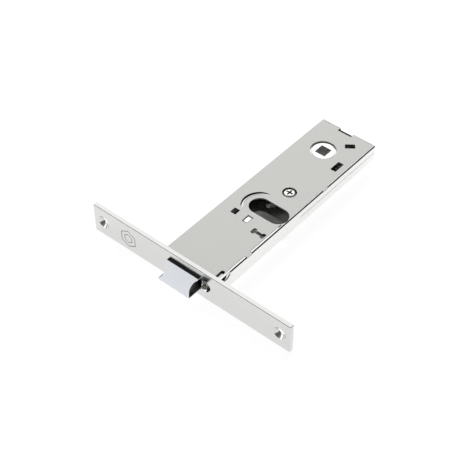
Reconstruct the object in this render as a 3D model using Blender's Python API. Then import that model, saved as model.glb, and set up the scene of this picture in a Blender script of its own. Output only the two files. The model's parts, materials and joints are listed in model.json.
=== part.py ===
"""Mortise lock for a narrow door rail, with a bevelled latch, a follower and an oval cylinder hole.

The lock lies on its back. +X runs along the faceplate, +Y from the faceplate into the door,
and +Z out of the cover. Every piece is placed from the middle of the faceplate's outer face, at its
lower edge, and hangs on an empty that brings the middle of the whole footprint to the origin.
"""

import math

import bmesh
import bpy
from mathutils import Vector

MM = 0.001

# Fits
GAP = 0.3 * MM
SLIDE_GAP = 0.3 * MM

# Faceplate
FACE_LENGTH = 160 * MM
FACE_WIDTH = 22 * MM
FACE_THICKNESS = 3 * MM
FACE_CORNER = 1 * MM
FACE_SCREW_FROM_END = 8 * MM
FACE_SCREW_HOLE_R = 2.6 * MM
FACE_SCREW_SINK_R = 4.6 * MM
LUG_DEPTH = 9 * MM
LUG_THICKNESS = 3.4 * MM
LUG_RIVET_R = 1.1 * MM
LUG_RIVET_PLACE = 5 * MM
LUG_RIVET_SUNK = 0.1 * MM

# Case
CASE_WIDTH = 44 * MM
CASE_THICKNESS = 12.8 * MM
CASE_TAIL = 26.5 * MM
SHEET = 1 * MM
CORNER_RELIEF_LENGTH = 12 * MM
CORNER_RELIEF_DEPTH = 4.4 * MM
END_NOTCH_LEFT = -7.2 * MM
END_NOTCH_LENGTH = 11.2 * MM
END_NOTCH_DEPTH = 4 * MM
END_NOTCH_DROP = 3 * MM
TAB_LENGTH = 4.8 * MM
FRONT_TAB_PLACE = 33 * MM
REAR_TAB_BEFORE_SPINDLE = 30 * MM
SPACER_R = 2.5 * MM
FRONT_SPACER_BEFORE_TONGUE_END = 4.3 * MM
FRONT_SPACER_PAST_LATCH = 11.5 * MM
MIDDLE_SPACER_BEFORE_SEAT = 15.5 * MM
RIGHT_SPACER_FROM_WALL = 6.5 * MM
LEFT_SPACER_FROM_WALL = 5 * MM
REAR_SPACER_FROM_END = 6 * MM

# Cylinder: its backset is measured from the faceplate's outer face
CYLINDER_BACKSET = 71 * MM
CYLINDER_HOLE_LENGTH = 29.4 * MM
CYLINDER_HOLE_WIDTH = 14.8 * MM
CYLINDER_HOLE_IN_WALL = 0.3 * MM
CYLINDER_SCREW_FROM_LATCH = 3.6 * MM
CYLINDER_SCREW_R = 2.4 * MM
CYLINDER_SCREW_HEAD_R = 3.7 * MM
CYLINDER_SCREW_HEAD_HEIGHT = 1.4 * MM
CYLINDER_SCREW_SINK = 0.5 * MM
CYLINDER_SCREW_SLOT_END = 2.22 * MM
SCREW_GUIDE_LENGTH = 8.8 * MM
SCREW_GUIDE_THICKNESS = 2.6 * MM

# Follower
CYLINDER_TO_SPINDLE = 69.5 * MM
SPINDLE_SQUARE = 8 * MM
SPINDLE_PLAY = 0.05 * MM
FOLLOWER_BODY_R = 10.4 * MM
FOLLOWER_JOURNAL_R = 8.3 * MM
FOLLOWER_SINK = 0.5 * MM
FOLLOWER_WINDOW_PLAY = 0.7 * MM
FOLLOWER_TURN = math.radians(45)
FOLLOWER_TIP_R = 1.6 * MM
FOLLOWER_BITE = 1.82 * MM
SPRING_ARM = 15 * MM
ARM_THICKNESS = 3.2 * MM

# An arm is slimmer than its round tip, so that it clears the notch that the tip works in
ARM_SLIMMING = 0.72

# Latch
LATCH_X = -2.5 * MM
LATCH_THROW = 10.5 * MM
LATCH_WIDTH = 25.8 * MM
LATCH_FLAT = 2.4 * MM
LATCH_NOSE = 0.5 * MM
LATCH_TAIL = 16 * MM
LATCH_GROOVE_R = 5.2 * MM
LATCH_GROOVE_DEPTH = 2.4 * MM
RIVET_R = 1 * MM
RIVET_BEFORE_TAIL = 2.4 * MM
RIVET_PLACES = (5 * MM, 9 * MM)

# Drawbar
DRAWBAR_THICKNESS = 2.5 * MM
DRAWBAR_STRIP_WIDTH = 6 * MM
DRAWBAR_TONGUE_END = 11.2 * MM
DRAWBAR_TONGUE_DEPTH = 4.7 * MM
DRAWBAR_CROSS = 5 * MM
DRAWBAR_LIP = 2.2 * MM
DRAWBAR_LIP_REACH = 4.5 * MM
DRAWBAR_SLOPE = 2 * MM
DRAWBAR_PAST_SPINDLE = 1.5 * MM

# Key lever
CYLINDER_TO_LEVER = 22 * MM
LEVER_TURN = math.radians(30)
LEVER_TIP_R = 1.8 * MM
LEVER_BITE = 2.08 * MM
LEVER_BOSS_R = 5 * MM
LEVER_NOSE_R = 1.9 * MM
LEVER_NOSE_FROM_CYLINDER = 8.1 * MM
POST_R = 2.3 * MM
POST_FLANGE_R = 4 * MM
COVER_SCREW_HEAD_R = 4.4 * MM
COVER_SCREW_R = 1.2 * MM
COVER_SCREW_PLAY = 0.45 * MM
COVER_SCREW_DOME = 0.5 * MM
COVER_SCREW_RIM = 1 * MM
COVER_SCREW_CROWN = 0.1 * MM
COVER_SCREW_SLOT_END = 2.4 * MM
RECESS_DEPTH = 0.9 * MM
RECESS_HALF_WIDTH = 0.5 * MM

# Springs
POCKET_DEPTH = 6 * MM
POCKET_WALL = 1 * MM
SPRING_COIL_R = 3 * MM
SPRING_WIRE_R = 0.4 * MM
SPRING_TURNS = 13
ROD_R = 1.6 * MM
BRACKET_BEFORE_CYLINDER = 17.6 * MM
BRACKET_LENGTH = 9.2 * MM
BRACKET_DEPTH = 6 * MM
BRACKET_TAB_LENGTH = 2.8 * MM
BRACKET_TAB_DEPTH = 4.8 * MM
BRACKET_TAB_SHIFT = 0.1 * MM
ROD_CLEAR_OF_LATCH = 2 * MM
SEAT_BEFORE_SPINDLE = 21 * MM
SEAT_LENGTH = 9 * MM
SEAT_THICKNESS = 3 * MM
SEAT_STUB_R = 1.3 * MM
SEAT_STUB_LENGTH = 8 * MM
FOLLOWER_COIL_R = 2.3 * MM
FOLLOWER_COIL_TURNS = 9.5
FOLLOWER_SPRING_OFFSET = 0.5 * MM

# Small holes in the cover: length along X, width along Y
HOLE_CORNER = 0.5 * MM
SQUARE_HOLE = (4.3 * MM, 5 * MM)
SQUARE_HOLE_X = -9.95 * MM
SQUARE_HOLE_BEFORE_CYLINDER = 13.9 * MM
TAB_HOLE_MARGIN = 0.7 * MM
DOG_BONE_LENGTH = 9.6 * MM
DOG_BONE_BAR = 1.9 * MM
DOG_BONE_END = (1.9 * MM, 4.2 * MM)
DOG_BONE_BEFORE_CYLINDER = 20 * MM
DOG_BONE_PAST_SCREW = 0.4 * MM
SIDE_HOLE = (4.4 * MM, 9.4 * MM)
SIDE_HOLE_FROM_SPINDLE = (17.3 * MM, -7.8 * MM)
TURNED_HOLE = (7 * MM, 4.2 * MM)
TURNED_HOLE_FROM_SPINDLE = (11.8 * MM, 14.3 * MM)
TURNED_HOLE_ANGLE = 39
CORNER_SLOT_WIDTH = 2.8 * MM
CORNER_SLOT_FROM_WALL = 1 * MM
CORNER_SLOT_END = 12.8 * MM
CRESCENT_BEYOND_HOLE = 6.3 * MM
CRESCENT_WIDTH = 2.2 * MM
CRESCENT_DEPTH = 0.5 * MM
CRESCENT_ANGLES = (98, 224)

# Places worked out from the sizes above
OVERCUT = 1 * MM
SPINDLE_BACKSET = CYLINDER_BACKSET + CYLINDER_TO_SPINDLE
MID_Z = FACE_WIDTH / 2
CASE_BOTTOM = MID_Z - CASE_THICKNESS / 2
CASE_TOP = MID_Z + CASE_THICKNESS / 2
INNER_LOW = CASE_BOTTOM + SHEET + GAP
INNER_HIGH = CASE_TOP - SHEET - GAP
ARM_LOW = MID_Z - ARM_THICKNESS / 2
ARM_HIGH = MID_Z + ARM_THICKNESS / 2
CASE_FRONT = FACE_THICKNESS + GAP
CASE_END = SPINDLE_BACKSET + CASE_TAIL
HALF_CASE = CASE_WIDTH / 2
INNER_HALF = HALF_CASE - SHEET
TAB_PLACES = (FRONT_TAB_PLACE, SPINDLE_BACKSET - REAR_TAB_BEFORE_SPINDLE)
LUG_OUT = INNER_HALF - 2 * GAP
LUG_IN = LUG_OUT - LUG_THICKNESS
LUG_RIVET_Y = FACE_THICKNESS + LUG_RIVET_PLACE
LATCH_LEFT = LATCH_X - LATCH_WIDTH / 2
LATCH_RIGHT = LATCH_X + LATCH_WIDTH / 2
TONGUE_LEFT = LATCH_LEFT + LATCH_GROOVE_DEPTH + 2 * GAP
TONGUE_RIGHT = LATCH_LEFT + DRAWBAR_TONGUE_END
TONGUE_FRONT = LATCH_TAIL - DRAWBAR_TONGUE_DEPTH
RIVET_X = tuple(LATCH_LEFT + place for place in RIVET_PLACES)
RIVET_Y = LATCH_TAIL - RIVET_BEFORE_TAIL
DRAWBAR_LEFT = -INNER_HALF + 2 * GAP
DRAWBAR_RIGHT = DRAWBAR_LEFT + DRAWBAR_STRIP_WIDTH
FOLLOWER_ARM = LATCH_THROW / (2 * math.sin(FOLLOWER_TURN / 2))
FOLLOWER_TIP_X = DRAWBAR_RIGHT - FOLLOWER_BITE
FOLLOWER_TIP_Y = SPINDLE_BACKSET - LATCH_THROW / 2
FOLLOWER_X = FOLLOWER_TIP_X + FOLLOWER_ARM
LEVER_ARM = LATCH_THROW / (2 * math.sin(LEVER_TURN / 2))
LEVER_TIP_X = DRAWBAR_RIGHT + DRAWBAR_LIP - LEVER_BITE
LEVER_X = LEVER_TIP_X + LEVER_ARM
LEVER_Y = CYLINDER_BACKSET + CYLINDER_TO_LEVER
LEVER_TIP_Y = LEVER_Y - LATCH_THROW / 2
CYLINDER_X = INNER_HALF + CYLINDER_HOLE_IN_WALL - CYLINDER_HOLE_LENGTH / 2
CYLINDER_LEFT_X = CYLINDER_X - (CYLINDER_HOLE_LENGTH - CYLINDER_HOLE_WIDTH) / 2
CYLINDER_SCREW_X = LATCH_RIGHT + CYLINDER_SCREW_FROM_LATCH
POCKET_R = SPRING_COIL_R + 3 * GAP
POCKET_FLOOR = LATCH_TAIL - POCKET_DEPTH
SPRING_X = TONGUE_RIGHT + GAP + POCKET_WALL + POCKET_R
BRACKET_FRONT = CYLINDER_BACKSET - BRACKET_BEFORE_CYLINDER
BRACKET_BACK = BRACKET_FRONT + BRACKET_DEPTH
BRACKET_TAB_Y = BRACKET_FRONT + BRACKET_DEPTH / 2 + BRACKET_TAB_SHIFT
DOG_BONE_X = CYLINDER_SCREW_X + DOG_BONE_PAST_SCREW
DOG_BONE_Y = CYLINDER_BACKSET - DOG_BONE_BEFORE_CYLINDER
FOOTPRINT_MIDDLE = (CASE_END - LATCH_THROW) / 2


# ---------------------------------------------------------------- outlines
def circle(x, y, radius, steps=40):
    """Points of a circle, anticlockwise."""
    return [
        (x + radius * math.cos(math.tau * i / steps), y + radius * math.sin(math.tau * i / steps))
        for i in range(steps)
    ]


def arc(x, y, radius, start, end, steps=10):
    """Points along an arc from one angle to another, both in degrees."""
    angles = [math.radians(start + (end - start) * i / steps) for i in range(steps + 1)]
    return [(x + radius * math.cos(a), y + radius * math.sin(a)) for a in angles]


def rectangle(x0, y0, x1, y1):
    """Corners of an upright rectangle."""
    return [(x0, y0), (x1, y0), (x1, y1), (x0, y1)]


def rounded(x0, y0, x1, y1, radius, steps=5):
    """A rectangle with round corners."""
    return (
        arc(x1 - radius, y0 + radius, radius, -90, 0, steps)
        + arc(x1 - radius, y1 - radius, radius, 0, 90, steps)
        + arc(x0 + radius, y1 - radius, radius, 90, 180, steps)
        + arc(x0 + radius, y0 + radius, radius, 180, 270, steps)
    )


def obround(x, y, length, width, steps=18):
    """A slot with round ends, lying along the first axis."""
    radius = width / 2
    reach = length / 2 - radius
    return arc(x + reach, y, radius, -90, 90, steps) + arc(x - reach, y, radius, 90, 270, steps)


def turned(points, x, y, angle):
    """Points turned about (x, y) by an angle in degrees."""
    c, s = math.cos(math.radians(angle)), math.sin(math.radians(angle))
    return [(x + (px - x) * c - (py - y) * s, y + (px - x) * s + (py - y) * c) for px, py in points]


def bar_between(ax, ay, bx, by, radius, steps=12):
    """A bar with round ends from one point to another."""
    heading = math.degrees(math.atan2(by - ay, bx - ax))
    start = arc(ax, ay, radius, heading + 90, heading + 270, steps)
    return start + arc(bx, by, radius, heading - 90, heading + 90, steps)


def crescent(x, y, radius, width, start, end, steps=20):
    """A moon-shaped outline: an outer arc and a flatter inner one that meet at both tips."""
    outer = arc(x, y, radius, start, end, steps)
    middle = math.radians((start + end) / 2)
    half = math.radians((end - start) / 2)
    # The inner arc passes through both tips and lies `width` inside the outer one at its middle.
    chord = radius * math.sin(half)
    rise = radius * (1 - math.cos(half)) - width
    inner_radius = (chord * chord + rise * rise) / (2 * rise)
    shift = radius - width - inner_radius
    cx, cy = x + shift * math.cos(middle), y + shift * math.sin(middle)
    first = math.degrees(math.atan2(outer[-1][1] - cy, outer[-1][0] - cx)) % 360
    last = math.degrees(math.atan2(outer[0][1] - cy, outer[0][0] - cx)) % 360
    return outer + arc(cx, cy, inner_radius, first, last, steps)[1:-1]


# ---------------------------------------------------------------- solids
def place(axis, a, b, c):
    """A point with outline coordinates (a, b) and depth c, for an extrusion along the axis."""
    return {"Z": (a, b, c), "Y": (a, c, b), "X": (c, a, b)}[axis]


def prism(outline, low, high, axis="Z"):
    """An outline extruded along an axis."""
    mesh = bmesh.new()
    ring = [mesh.verts.new(place(axis, a, b, low)) for a, b in outline]
    face = mesh.faces.new(ring)
    made = bmesh.ops.extrude_face_region(mesh, geom=[face])
    step = Vector(place(axis, 0, 0, high - low))
    moved = [part for part in made["geom"] if isinstance(part, bmesh.types.BMVert)]
    bmesh.ops.translate(mesh, verts=moved, vec=step)
    bmesh.ops.recalc_face_normals(mesh, faces=mesh.faces)
    return mesh


def cone(a, b, r_low, r_high, low, high, axis="Z", steps=40):
    """A cone with its flat ends at two depths along an axis."""
    mesh = bmesh.new()
    rings = [
        [mesh.verts.new(place(axis, p, q, depth)) for p, q in circle(a, b, radius, steps)]
        for radius, depth in ((r_low, low), (r_high, high))
    ]
    for i in range(steps):
        j = (i + 1) % steps
        mesh.faces.new((rings[0][i], rings[0][j], rings[1][j], rings[1][i]))
    for ring in rings:
        mesh.faces.new(ring)
    bmesh.ops.recalc_face_normals(mesh, faces=mesh.faces)
    return mesh


def lathe(x, y, profile, steps=40):
    """A closed turned solid about a vertical axis; the profile runs from axis to axis as (radius, z)."""
    mesh = bmesh.new()
    rings = []
    for radius, z in profile:
        if radius == 0:
            rings.append([mesh.verts.new((x, y, z))] * steps)
        else:
            rings.append([mesh.verts.new((px, py, z)) for px, py in circle(x, y, radius, steps)])
    for lower, upper in zip(rings, rings[1:]):
        for i in range(steps):
            j = (i + 1) % steps
            corners = dict.fromkeys((lower[i], lower[j], upper[j], upper[i]))
            mesh.faces.new(tuple(corners))
    bmesh.ops.recalc_face_normals(mesh, faces=mesh.faces)
    return mesh


def coil(x, z, radius, wire, start, end, turns, steps=18, sides=8):
    """A helical wire about an axis along Y, with its flat ends at two depths."""
    mesh = bmesh.new()
    total = int(turns * steps)
    low, high = start + wire, end - wire
    rings = []
    for i in range(total + 1):
        angle = math.tau * i / steps
        out = Vector((math.cos(angle), 0, math.sin(angle)))
        centre = Vector((x, low + (high - low) * i / total, z)) + out * radius
        ring = []
        for k in range(sides):
            turn = math.tau * k / sides
            offset = out * wire * math.cos(turn) + Vector((0, wire * math.sin(turn), 0))
            ring.append(mesh.verts.new(centre + offset))
        rings.append(ring)
    for lower, upper in zip(rings, rings[1:]):
        for k in range(sides):
            m = (k + 1) % sides
            mesh.faces.new((lower[k], lower[m], upper[m], upper[k]))
    mesh.faces.new(rings[0])
    mesh.faces.new(rings[-1])
    bmesh.ops.recalc_face_normals(mesh, faces=mesh.faces)
    return mesh


# ---------------------------------------------------------------- objects
def material(name, colour, roughness, metallic):
    """A plain Principled material."""
    made = bpy.data.materials.new(name)
    made.use_nodes = True
    shader = made.node_tree.nodes["Principled BSDF"]
    shader.inputs["Base Color"].default_value = (*colour, 1)
    shader.inputs["Roughness"].default_value = roughness
    shader.inputs["Metallic"].default_value = metallic
    return made


def link(name, mesh, origin=(0, 0, 0)):
    """Turn a bmesh into an object whose origin stands at the given point."""
    bmesh.ops.translate(mesh, verts=mesh.verts, vec=-Vector(origin))
    data = bpy.data.meshes.new(name)
    mesh.to_mesh(data)
    mesh.free()
    made = bpy.data.objects.new(name, data)
    made.location = origin
    made.parent = bpy.data.objects["faceplate_middle"]
    bpy.context.scene.collection.objects.link(made)
    return made


def helper(name, mesh):
    """An object that only shapes another one."""
    made = link(name, mesh)
    made.hide_render = True
    made.display_type = "WIRE"
    return made


def piece(name, finish, base, adds=(), cuts=(), origin=(0, 0, 0)):
    """One node: a base solid, with others joined to it and others cut out of it."""
    made = link(name, base, origin)
    made.data.materials.append(finish)
    for operation, meshes in (("UNION", adds), ("DIFFERENCE", cuts)):
        for number, mesh in enumerate(meshes, 1):
            change = made.modifiers.new(f"{operation.lower()}_{number}", "BOOLEAN")
            change.operation = operation
            change.solver = "EXACT"
            change.object = helper(f"{name}_{operation.lower()}_{number}", mesh)
    made.data.shade_smooth()
    made.data.set_sharp_from_angle(angle=math.radians(30))
    return made


# ---------------------------------------------------------------- shared holes
def cylinder_hole(low, high):
    """The long oval hole for the cylinder."""
    return prism(obround(CYLINDER_X, CYLINDER_BACKSET, CYLINDER_HOLE_LENGTH, CYLINDER_HOLE_WIDTH), low, high)


def end_notch(low, high):
    """The notch in the far end, cut from below to above."""
    right = END_NOTCH_LEFT + END_NOTCH_LENGTH
    return prism(rectangle(END_NOTCH_LEFT, CASE_END - END_NOTCH_DEPTH, right, CASE_END + OVERCUT), low, high)


def lug_rivet_hole(near, far):
    """The hole for a faceplate rivet, through a lug or a wall."""
    return prism(circle(LUG_RIVET_Y, MID_Z, LUG_RIVET_R + GAP, 24), near - OVERCUT, far + OVERCUT, "X")


def latch_rivet_holes():
    """The holes for the two rivets of the latch."""
    low, high = INNER_LOW - OVERCUT, INNER_HIGH + OVERCUT
    return [prism(circle(x, RIVET_Y, RIVET_R + GAP, 24), low, high) for x in RIVET_X]


def cross_recess(a, b, low, high, axis, half_length):
    """Two crossed slots for a screwdriver."""
    half_width = RECESS_HALF_WIDTH
    return [
        prism(rectangle(a - half_length, b - half_width, a + half_length, b + half_width), low, high, axis),
        prism(rectangle(a - half_width, b - half_length, a + half_width, b + half_length), low, high, axis),
    ]


# ---------------------------------------------------------------- faceplate and case
def faceplate(finish):
    """The polished bar that shows on the door's edge, with a lug behind it near each side wall."""
    half = FACE_LENGTH / 2
    base = prism(rounded(-half, 0, half, FACE_WIDTH, FACE_CORNER), 0, FACE_THICKNESS, "Y")
    # The back is one face beside the case and another behind it, so each end can rest on the door alone.
    for x in (-HALF_CASE - GAP, HALF_CASE + GAP):
        whole = base.verts[:] + base.edges[:] + base.faces[:]
        bmesh.ops.bisect_plane(base, geom=whole, plane_co=(x, 0, 0), plane_no=(1, 0, 0))
    back = FACE_THICKNESS + OVERCUT
    counterbore = CYLINDER_SCREW_SINK + CYLINDER_SCREW_HEAD_HEIGHT + GAP
    cuts = [
        prism(
            rectangle(
                LATCH_LEFT - SLIDE_GAP, INNER_LOW - SLIDE_GAP,
                LATCH_RIGHT + SLIDE_GAP, INNER_HIGH + SLIDE_GAP,
            ),
            -OVERCUT, back, "Y",
        ),
        prism(circle(CYLINDER_SCREW_X, MID_Z, CYLINDER_SCREW_HEAD_R + GAP), -OVERCUT, counterbore, "Y"),
        prism(circle(CYLINDER_SCREW_X, MID_Z, CYLINDER_SCREW_R + GAP), 0, back, "Y"),
    ]
    adds = []
    sink = FACE_SCREW_SINK_R - FACE_SCREW_HOLE_R
    for side in (-1, 1):
        x = side * (half - FACE_SCREW_FROM_END)
        cuts.append(prism(circle(x, MID_Z, FACE_SCREW_HOLE_R), -OVERCUT, back, "Y"))
        cuts.append(cone(x, MID_Z, FACE_SCREW_SINK_R + OVERCUT, FACE_SCREW_HOLE_R, -OVERCUT, sink, "Y"))
        near, far = sorted((side * LUG_IN, side * LUG_OUT))
        lug = rectangle(near, INNER_LOW + GAP, far, INNER_HIGH - GAP)
        adds.append(prism(lug, FACE_THICKNESS - OVERCUT, FACE_THICKNESS + LUG_DEPTH, "Y"))
        cuts.append(lug_rivet_hole(near, far))
    return piece("faceplate", finish, base, adds, cuts)


def faceplate_rivets(finish):
    """The rivet through each side wall into the faceplate's lug."""
    for name, side in (("left", -1), ("right", 1)):
        near, far = sorted((side * LUG_IN, side * (HALF_CASE - LUG_RIVET_SUNK)))
        pin = prism(circle(LUG_RIVET_Y, MID_Z, LUG_RIVET_R, 24), near, far, "X")
        piece(f"faceplate_rivet_{name}", finish, pin)


def corner_relief():
    """The curved step in both side walls behind the faceplate."""
    start, end = CASE_FRONT - OVERCUT, FACE_THICKNESS + CORNER_RELIEF_LENGTH
    low = CASE_TOP - CORNER_RELIEF_DEPTH
    outline = [(start, low)]
    outline += arc(end - CORNER_RELIEF_DEPTH, CASE_TOP, CORNER_RELIEF_DEPTH, -90, 0, 8)
    outline += [(end, CASE_TOP + OVERCUT), (start, CASE_TOP + OVERCUT)]
    return prism(outline, -HALF_CASE - OVERCUT, HALF_CASE + OVERCUT, "X")


def case_body(finish):
    """The tray: floor, two side walls and the far wall, open towards the faceplate."""
    base = prism(rectangle(-HALF_CASE, CASE_FRONT, HALF_CASE, CASE_END), CASE_BOTTOM, CASE_TOP)
    inside = rectangle(-INNER_HALF, CASE_FRONT - OVERCUT, INNER_HALF, CASE_END - SHEET)
    below, above = CASE_BOTTOM - OVERCUT, CASE_BOTTOM + SHEET + OVERCUT
    cuts = [
        prism(inside, CASE_BOTTOM + SHEET, CASE_TOP + OVERCUT),
        cylinder_hole(below, CASE_TOP + OVERCUT),
        prism(circle(FOLLOWER_X, SPINDLE_BACKSET, FOLLOWER_JOURNAL_R + SLIDE_GAP), below, above),
        corner_relief(),
        lug_rivet_hole(-HALF_CASE, HALF_CASE),
        end_notch(CASE_TOP - END_NOTCH_DROP, CASE_TOP + OVERCUT),
    ]
    for y in TAB_PLACES:
        reach = TAB_LENGTH / 2 + GAP
        notch = rectangle(-HALF_CASE - OVERCUT, y - reach, HALF_CASE + OVERCUT, y + reach)
        cuts.append(prism(notch, CASE_TOP - SHEET - GAP, CASE_TOP + OVERCUT))
    return piece("case_body", finish, base, (), cuts)


def around(x, y, size, corner=HOLE_CORNER):
    """A round-cornered rectangle about its middle."""
    length, width = size
    return rounded(x - length / 2, y - width / 2, x + length / 2, y + width / 2, corner)


def dog_bone():
    """The bar and the two ends of the dog-bone slot above the screw guide."""
    reach = (DOG_BONE_LENGTH - DOG_BONE_END[0]) / 2
    return [
        around(DOG_BONE_X, DOG_BONE_Y, (2 * reach, DOG_BONE_BAR)),
        around(DOG_BONE_X - reach, DOG_BONE_Y, DOG_BONE_END),
        around(DOG_BONE_X + reach, DOG_BONE_Y, DOG_BONE_END),
    ]


def corner_slot():
    """The slot with one round end, open towards the faceplate."""
    right = INNER_HALF - CORNER_SLOT_FROM_WALL
    radius = CORNER_SLOT_WIDTH / 2
    outline = [(right - CORNER_SLOT_WIDTH, CASE_FRONT - OVERCUT), (right, CASE_FRONT - OVERCUT)]
    return outline + arc(right - radius, CORNER_SLOT_END - radius, radius, 0, 180, 10)


def cover_outlines():
    """The outlines of every hole that goes right through the cover."""
    turned_x = FOLLOWER_X + TURNED_HOLE_FROM_SPINDLE[0]
    turned_y = SPINDLE_BACKSET + TURNED_HOLE_FROM_SPINDLE[1]
    side_x = FOLLOWER_X + SIDE_HOLE_FROM_SPINDLE[0]
    side_y = SPINDLE_BACKSET + SIDE_HOLE_FROM_SPINDLE[1]
    tab_hole = (BRACKET_TAB_LENGTH + 2 * TAB_HOLE_MARGIN, BRACKET_TAB_DEPTH + 2 * TAB_HOLE_MARGIN)
    return [
        circle(FOLLOWER_X, SPINDLE_BACKSET, FOLLOWER_JOURNAL_R + FOLLOWER_WINDOW_PLAY, 56),
        circle(LEVER_X, LEVER_Y, COVER_SCREW_HEAD_R + COVER_SCREW_PLAY),
        around(SQUARE_HOLE_X, CYLINDER_BACKSET - SQUARE_HOLE_BEFORE_CYLINDER, SQUARE_HOLE),
        around(SPRING_X, BRACKET_TAB_Y, tab_hole),
        *dog_bone(),
        around(side_x, side_y, SIDE_HOLE),
        turned(around(turned_x, turned_y, TURNED_HOLE), turned_x, turned_y, TURNED_HOLE_ANGLE),
        corner_slot(),
    ]


def case_cover(finish):
    """The flat cover, held between the walls, with its holes."""
    edge = INNER_HALF - GAP
    low, high = CASE_TOP - SHEET, CASE_TOP
    below, above = low - OVERCUT, high + OVERCUT
    base = prism(rectangle(-edge, CASE_FRONT, edge, CASE_END - SHEET - GAP), low, high)
    adds = [
        prism(rectangle(-HALF_CASE, y - TAB_LENGTH / 2, HALF_CASE, y + TAB_LENGTH / 2), low, high)
        for y in TAB_PLACES
    ]
    radius = CYLINDER_HOLE_WIDTH / 2 + CRESCENT_BEYOND_HOLE
    moon = crescent(CYLINDER_LEFT_X, CYLINDER_BACKSET, radius, CRESCENT_WIDTH, *CRESCENT_ANGLES)
    cuts = [cylinder_hole(below, above), end_notch(below, above), prism(moon, high - CRESCENT_DEPTH, above)]
    cuts += [prism(outline, below, above) for outline in cover_outlines()]
    return piece("case_cover", finish, base, adds, cuts)


def spacers(finish):
    """The pillars that keep the cover off the floor."""
    far = CASE_END - REAR_SPACER_FROM_END
    right, left = INNER_HALF - RIGHT_SPACER_FROM_WALL, LEFT_SPACER_FROM_WALL - INNER_HALF
    front = LATCH_TAIL + LATCH_THROW + FRONT_SPACER_PAST_LATCH
    places = (
        (TONGUE_RIGHT - FRONT_SPACER_BEFORE_TONGUE_END, front),
        (right, SPINDLE_BACKSET - SEAT_BEFORE_SPINDLE - MIDDLE_SPACER_BEFORE_SEAT),
        (right, far),
        (left, far),
    )
    for number, (x, y) in enumerate(places, 1):
        piece(f"spacer_{number}", finish, prism(circle(x, y, SPACER_R, 32), INNER_LOW, INNER_HIGH))


# ---------------------------------------------------------------- latch and drawbar
def latch_head(finish):
    """The bevelled bolt, with a round groove along each end."""
    low, high = INNER_LOW, INNER_HIGH
    side = [
        (-LATCH_THROW, low), (LATCH_TAIL, low), (LATCH_TAIL, high), (-LATCH_FLAT, high),
        (-LATCH_THROW, low + LATCH_NOSE),
    ]
    base = prism(side, LATCH_LEFT, LATCH_RIGHT, "X")
    front, back = -LATCH_THROW - OVERCUT, LATCH_TAIL + OVERCUT
    inset = LATCH_GROOVE_R - LATCH_GROOVE_DEPTH
    slot_half = DRAWBAR_THICKNESS / 2 + GAP
    slot = rectangle(TONGUE_LEFT - GAP, TONGUE_FRONT - GAP, TONGUE_RIGHT + GAP, back)
    cuts = [
        prism(circle(LATCH_LEFT - inset, MID_Z, LATCH_GROOVE_R), front, back, "Y"),
        prism(circle(LATCH_RIGHT + inset, MID_Z, LATCH_GROOVE_R), front, back, "Y"),
        prism(slot, MID_Z - slot_half, MID_Z + slot_half),
        prism(circle(SPRING_X, MID_Z, POCKET_R), POCKET_FLOOR, back, "Y"),
    ]
    return piece("latch_head", finish, base, (), cuts + latch_rivet_holes())


def tip_notch(x, y, radius):
    """The notch that a round tip works in, open to the right."""
    reach = radius + SLIDE_GAP
    low, high = MID_Z - DRAWBAR_THICKNESS / 2 - OVERCUT, MID_Z + DRAWBAR_THICKNESS / 2 + OVERCUT
    open_end = DRAWBAR_RIGHT + DRAWBAR_LIP + OVERCUT
    return prism(rectangle(x - reach, y - reach, open_end, y + reach), low, high)


def drawbar(finish):
    """The flat bar that pulls the latch back, notched for the key lever and for the follower."""
    cross_start, cross_end = LATCH_TAIL + GAP, LATCH_TAIL + DRAWBAR_CROSS
    end = SPINDLE_BACKSET + DRAWBAR_PAST_SPINDLE
    lip, inner, outer = DRAWBAR_RIGHT + DRAWBAR_LIP, DRAWBAR_LIP_REACH, DRAWBAR_LIP_REACH + DRAWBAR_SLOPE
    outline = [
        (TONGUE_LEFT, TONGUE_FRONT), (TONGUE_RIGHT, TONGUE_FRONT), (TONGUE_RIGHT, cross_end),
        (DRAWBAR_RIGHT, cross_end + DRAWBAR_SLOPE),
        (DRAWBAR_RIGHT, LEVER_TIP_Y - outer), (lip, LEVER_TIP_Y - inner),
        (lip, LEVER_TIP_Y + inner), (DRAWBAR_RIGHT, LEVER_TIP_Y + outer),
        (DRAWBAR_RIGHT, end), (DRAWBAR_LEFT, end), (DRAWBAR_LEFT, cross_start), (TONGUE_LEFT, cross_start),
    ]
    base = prism(outline, MID_Z - DRAWBAR_THICKNESS / 2, MID_Z + DRAWBAR_THICKNESS / 2)
    cuts = [
        tip_notch(FOLLOWER_TIP_X, FOLLOWER_TIP_Y, FOLLOWER_TIP_R),
        tip_notch(LEVER_TIP_X, LEVER_TIP_Y, LEVER_TIP_R),
    ]
    return piece("drawbar", finish, base, (), cuts + latch_rivet_holes())


def latch_rivets(finish):
    """The two rivets that hold the drawbar in the latch head."""
    for number, x in enumerate(RIVET_X, 1):
        piece(f"latch_rivet_{number}", finish, prism(circle(x, RIVET_Y, RIVET_R, 24), INNER_LOW, INNER_HIGH))


def spring_bracket(finish):
    """The block behind the latch spring, whose tab stands in the cover."""
    half_x, half_y = BRACKET_TAB_LENGTH / 2, BRACKET_TAB_DEPTH / 2
    tab = rectangle(SPRING_X - half_x, BRACKET_TAB_Y - half_y, SPRING_X + half_x, BRACKET_TAB_Y + half_y)
    body = rectangle(
        SPRING_X - BRACKET_LENGTH / 2, BRACKET_FRONT, SPRING_X + BRACKET_LENGTH / 2, BRACKET_BACK
    )
    bore = circle(SPRING_X, MID_Z, ROD_R + GAP, 24)
    hole = prism(bore, BRACKET_FRONT - OVERCUT, BRACKET_BACK - OVERCUT, "Y")
    stub = prism(tab, INNER_HIGH - OVERCUT, CASE_TOP - GAP)
    return piece("spring_bracket", finish, prism(body, INNER_LOW, INNER_HIGH), [stub], [hole])


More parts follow.
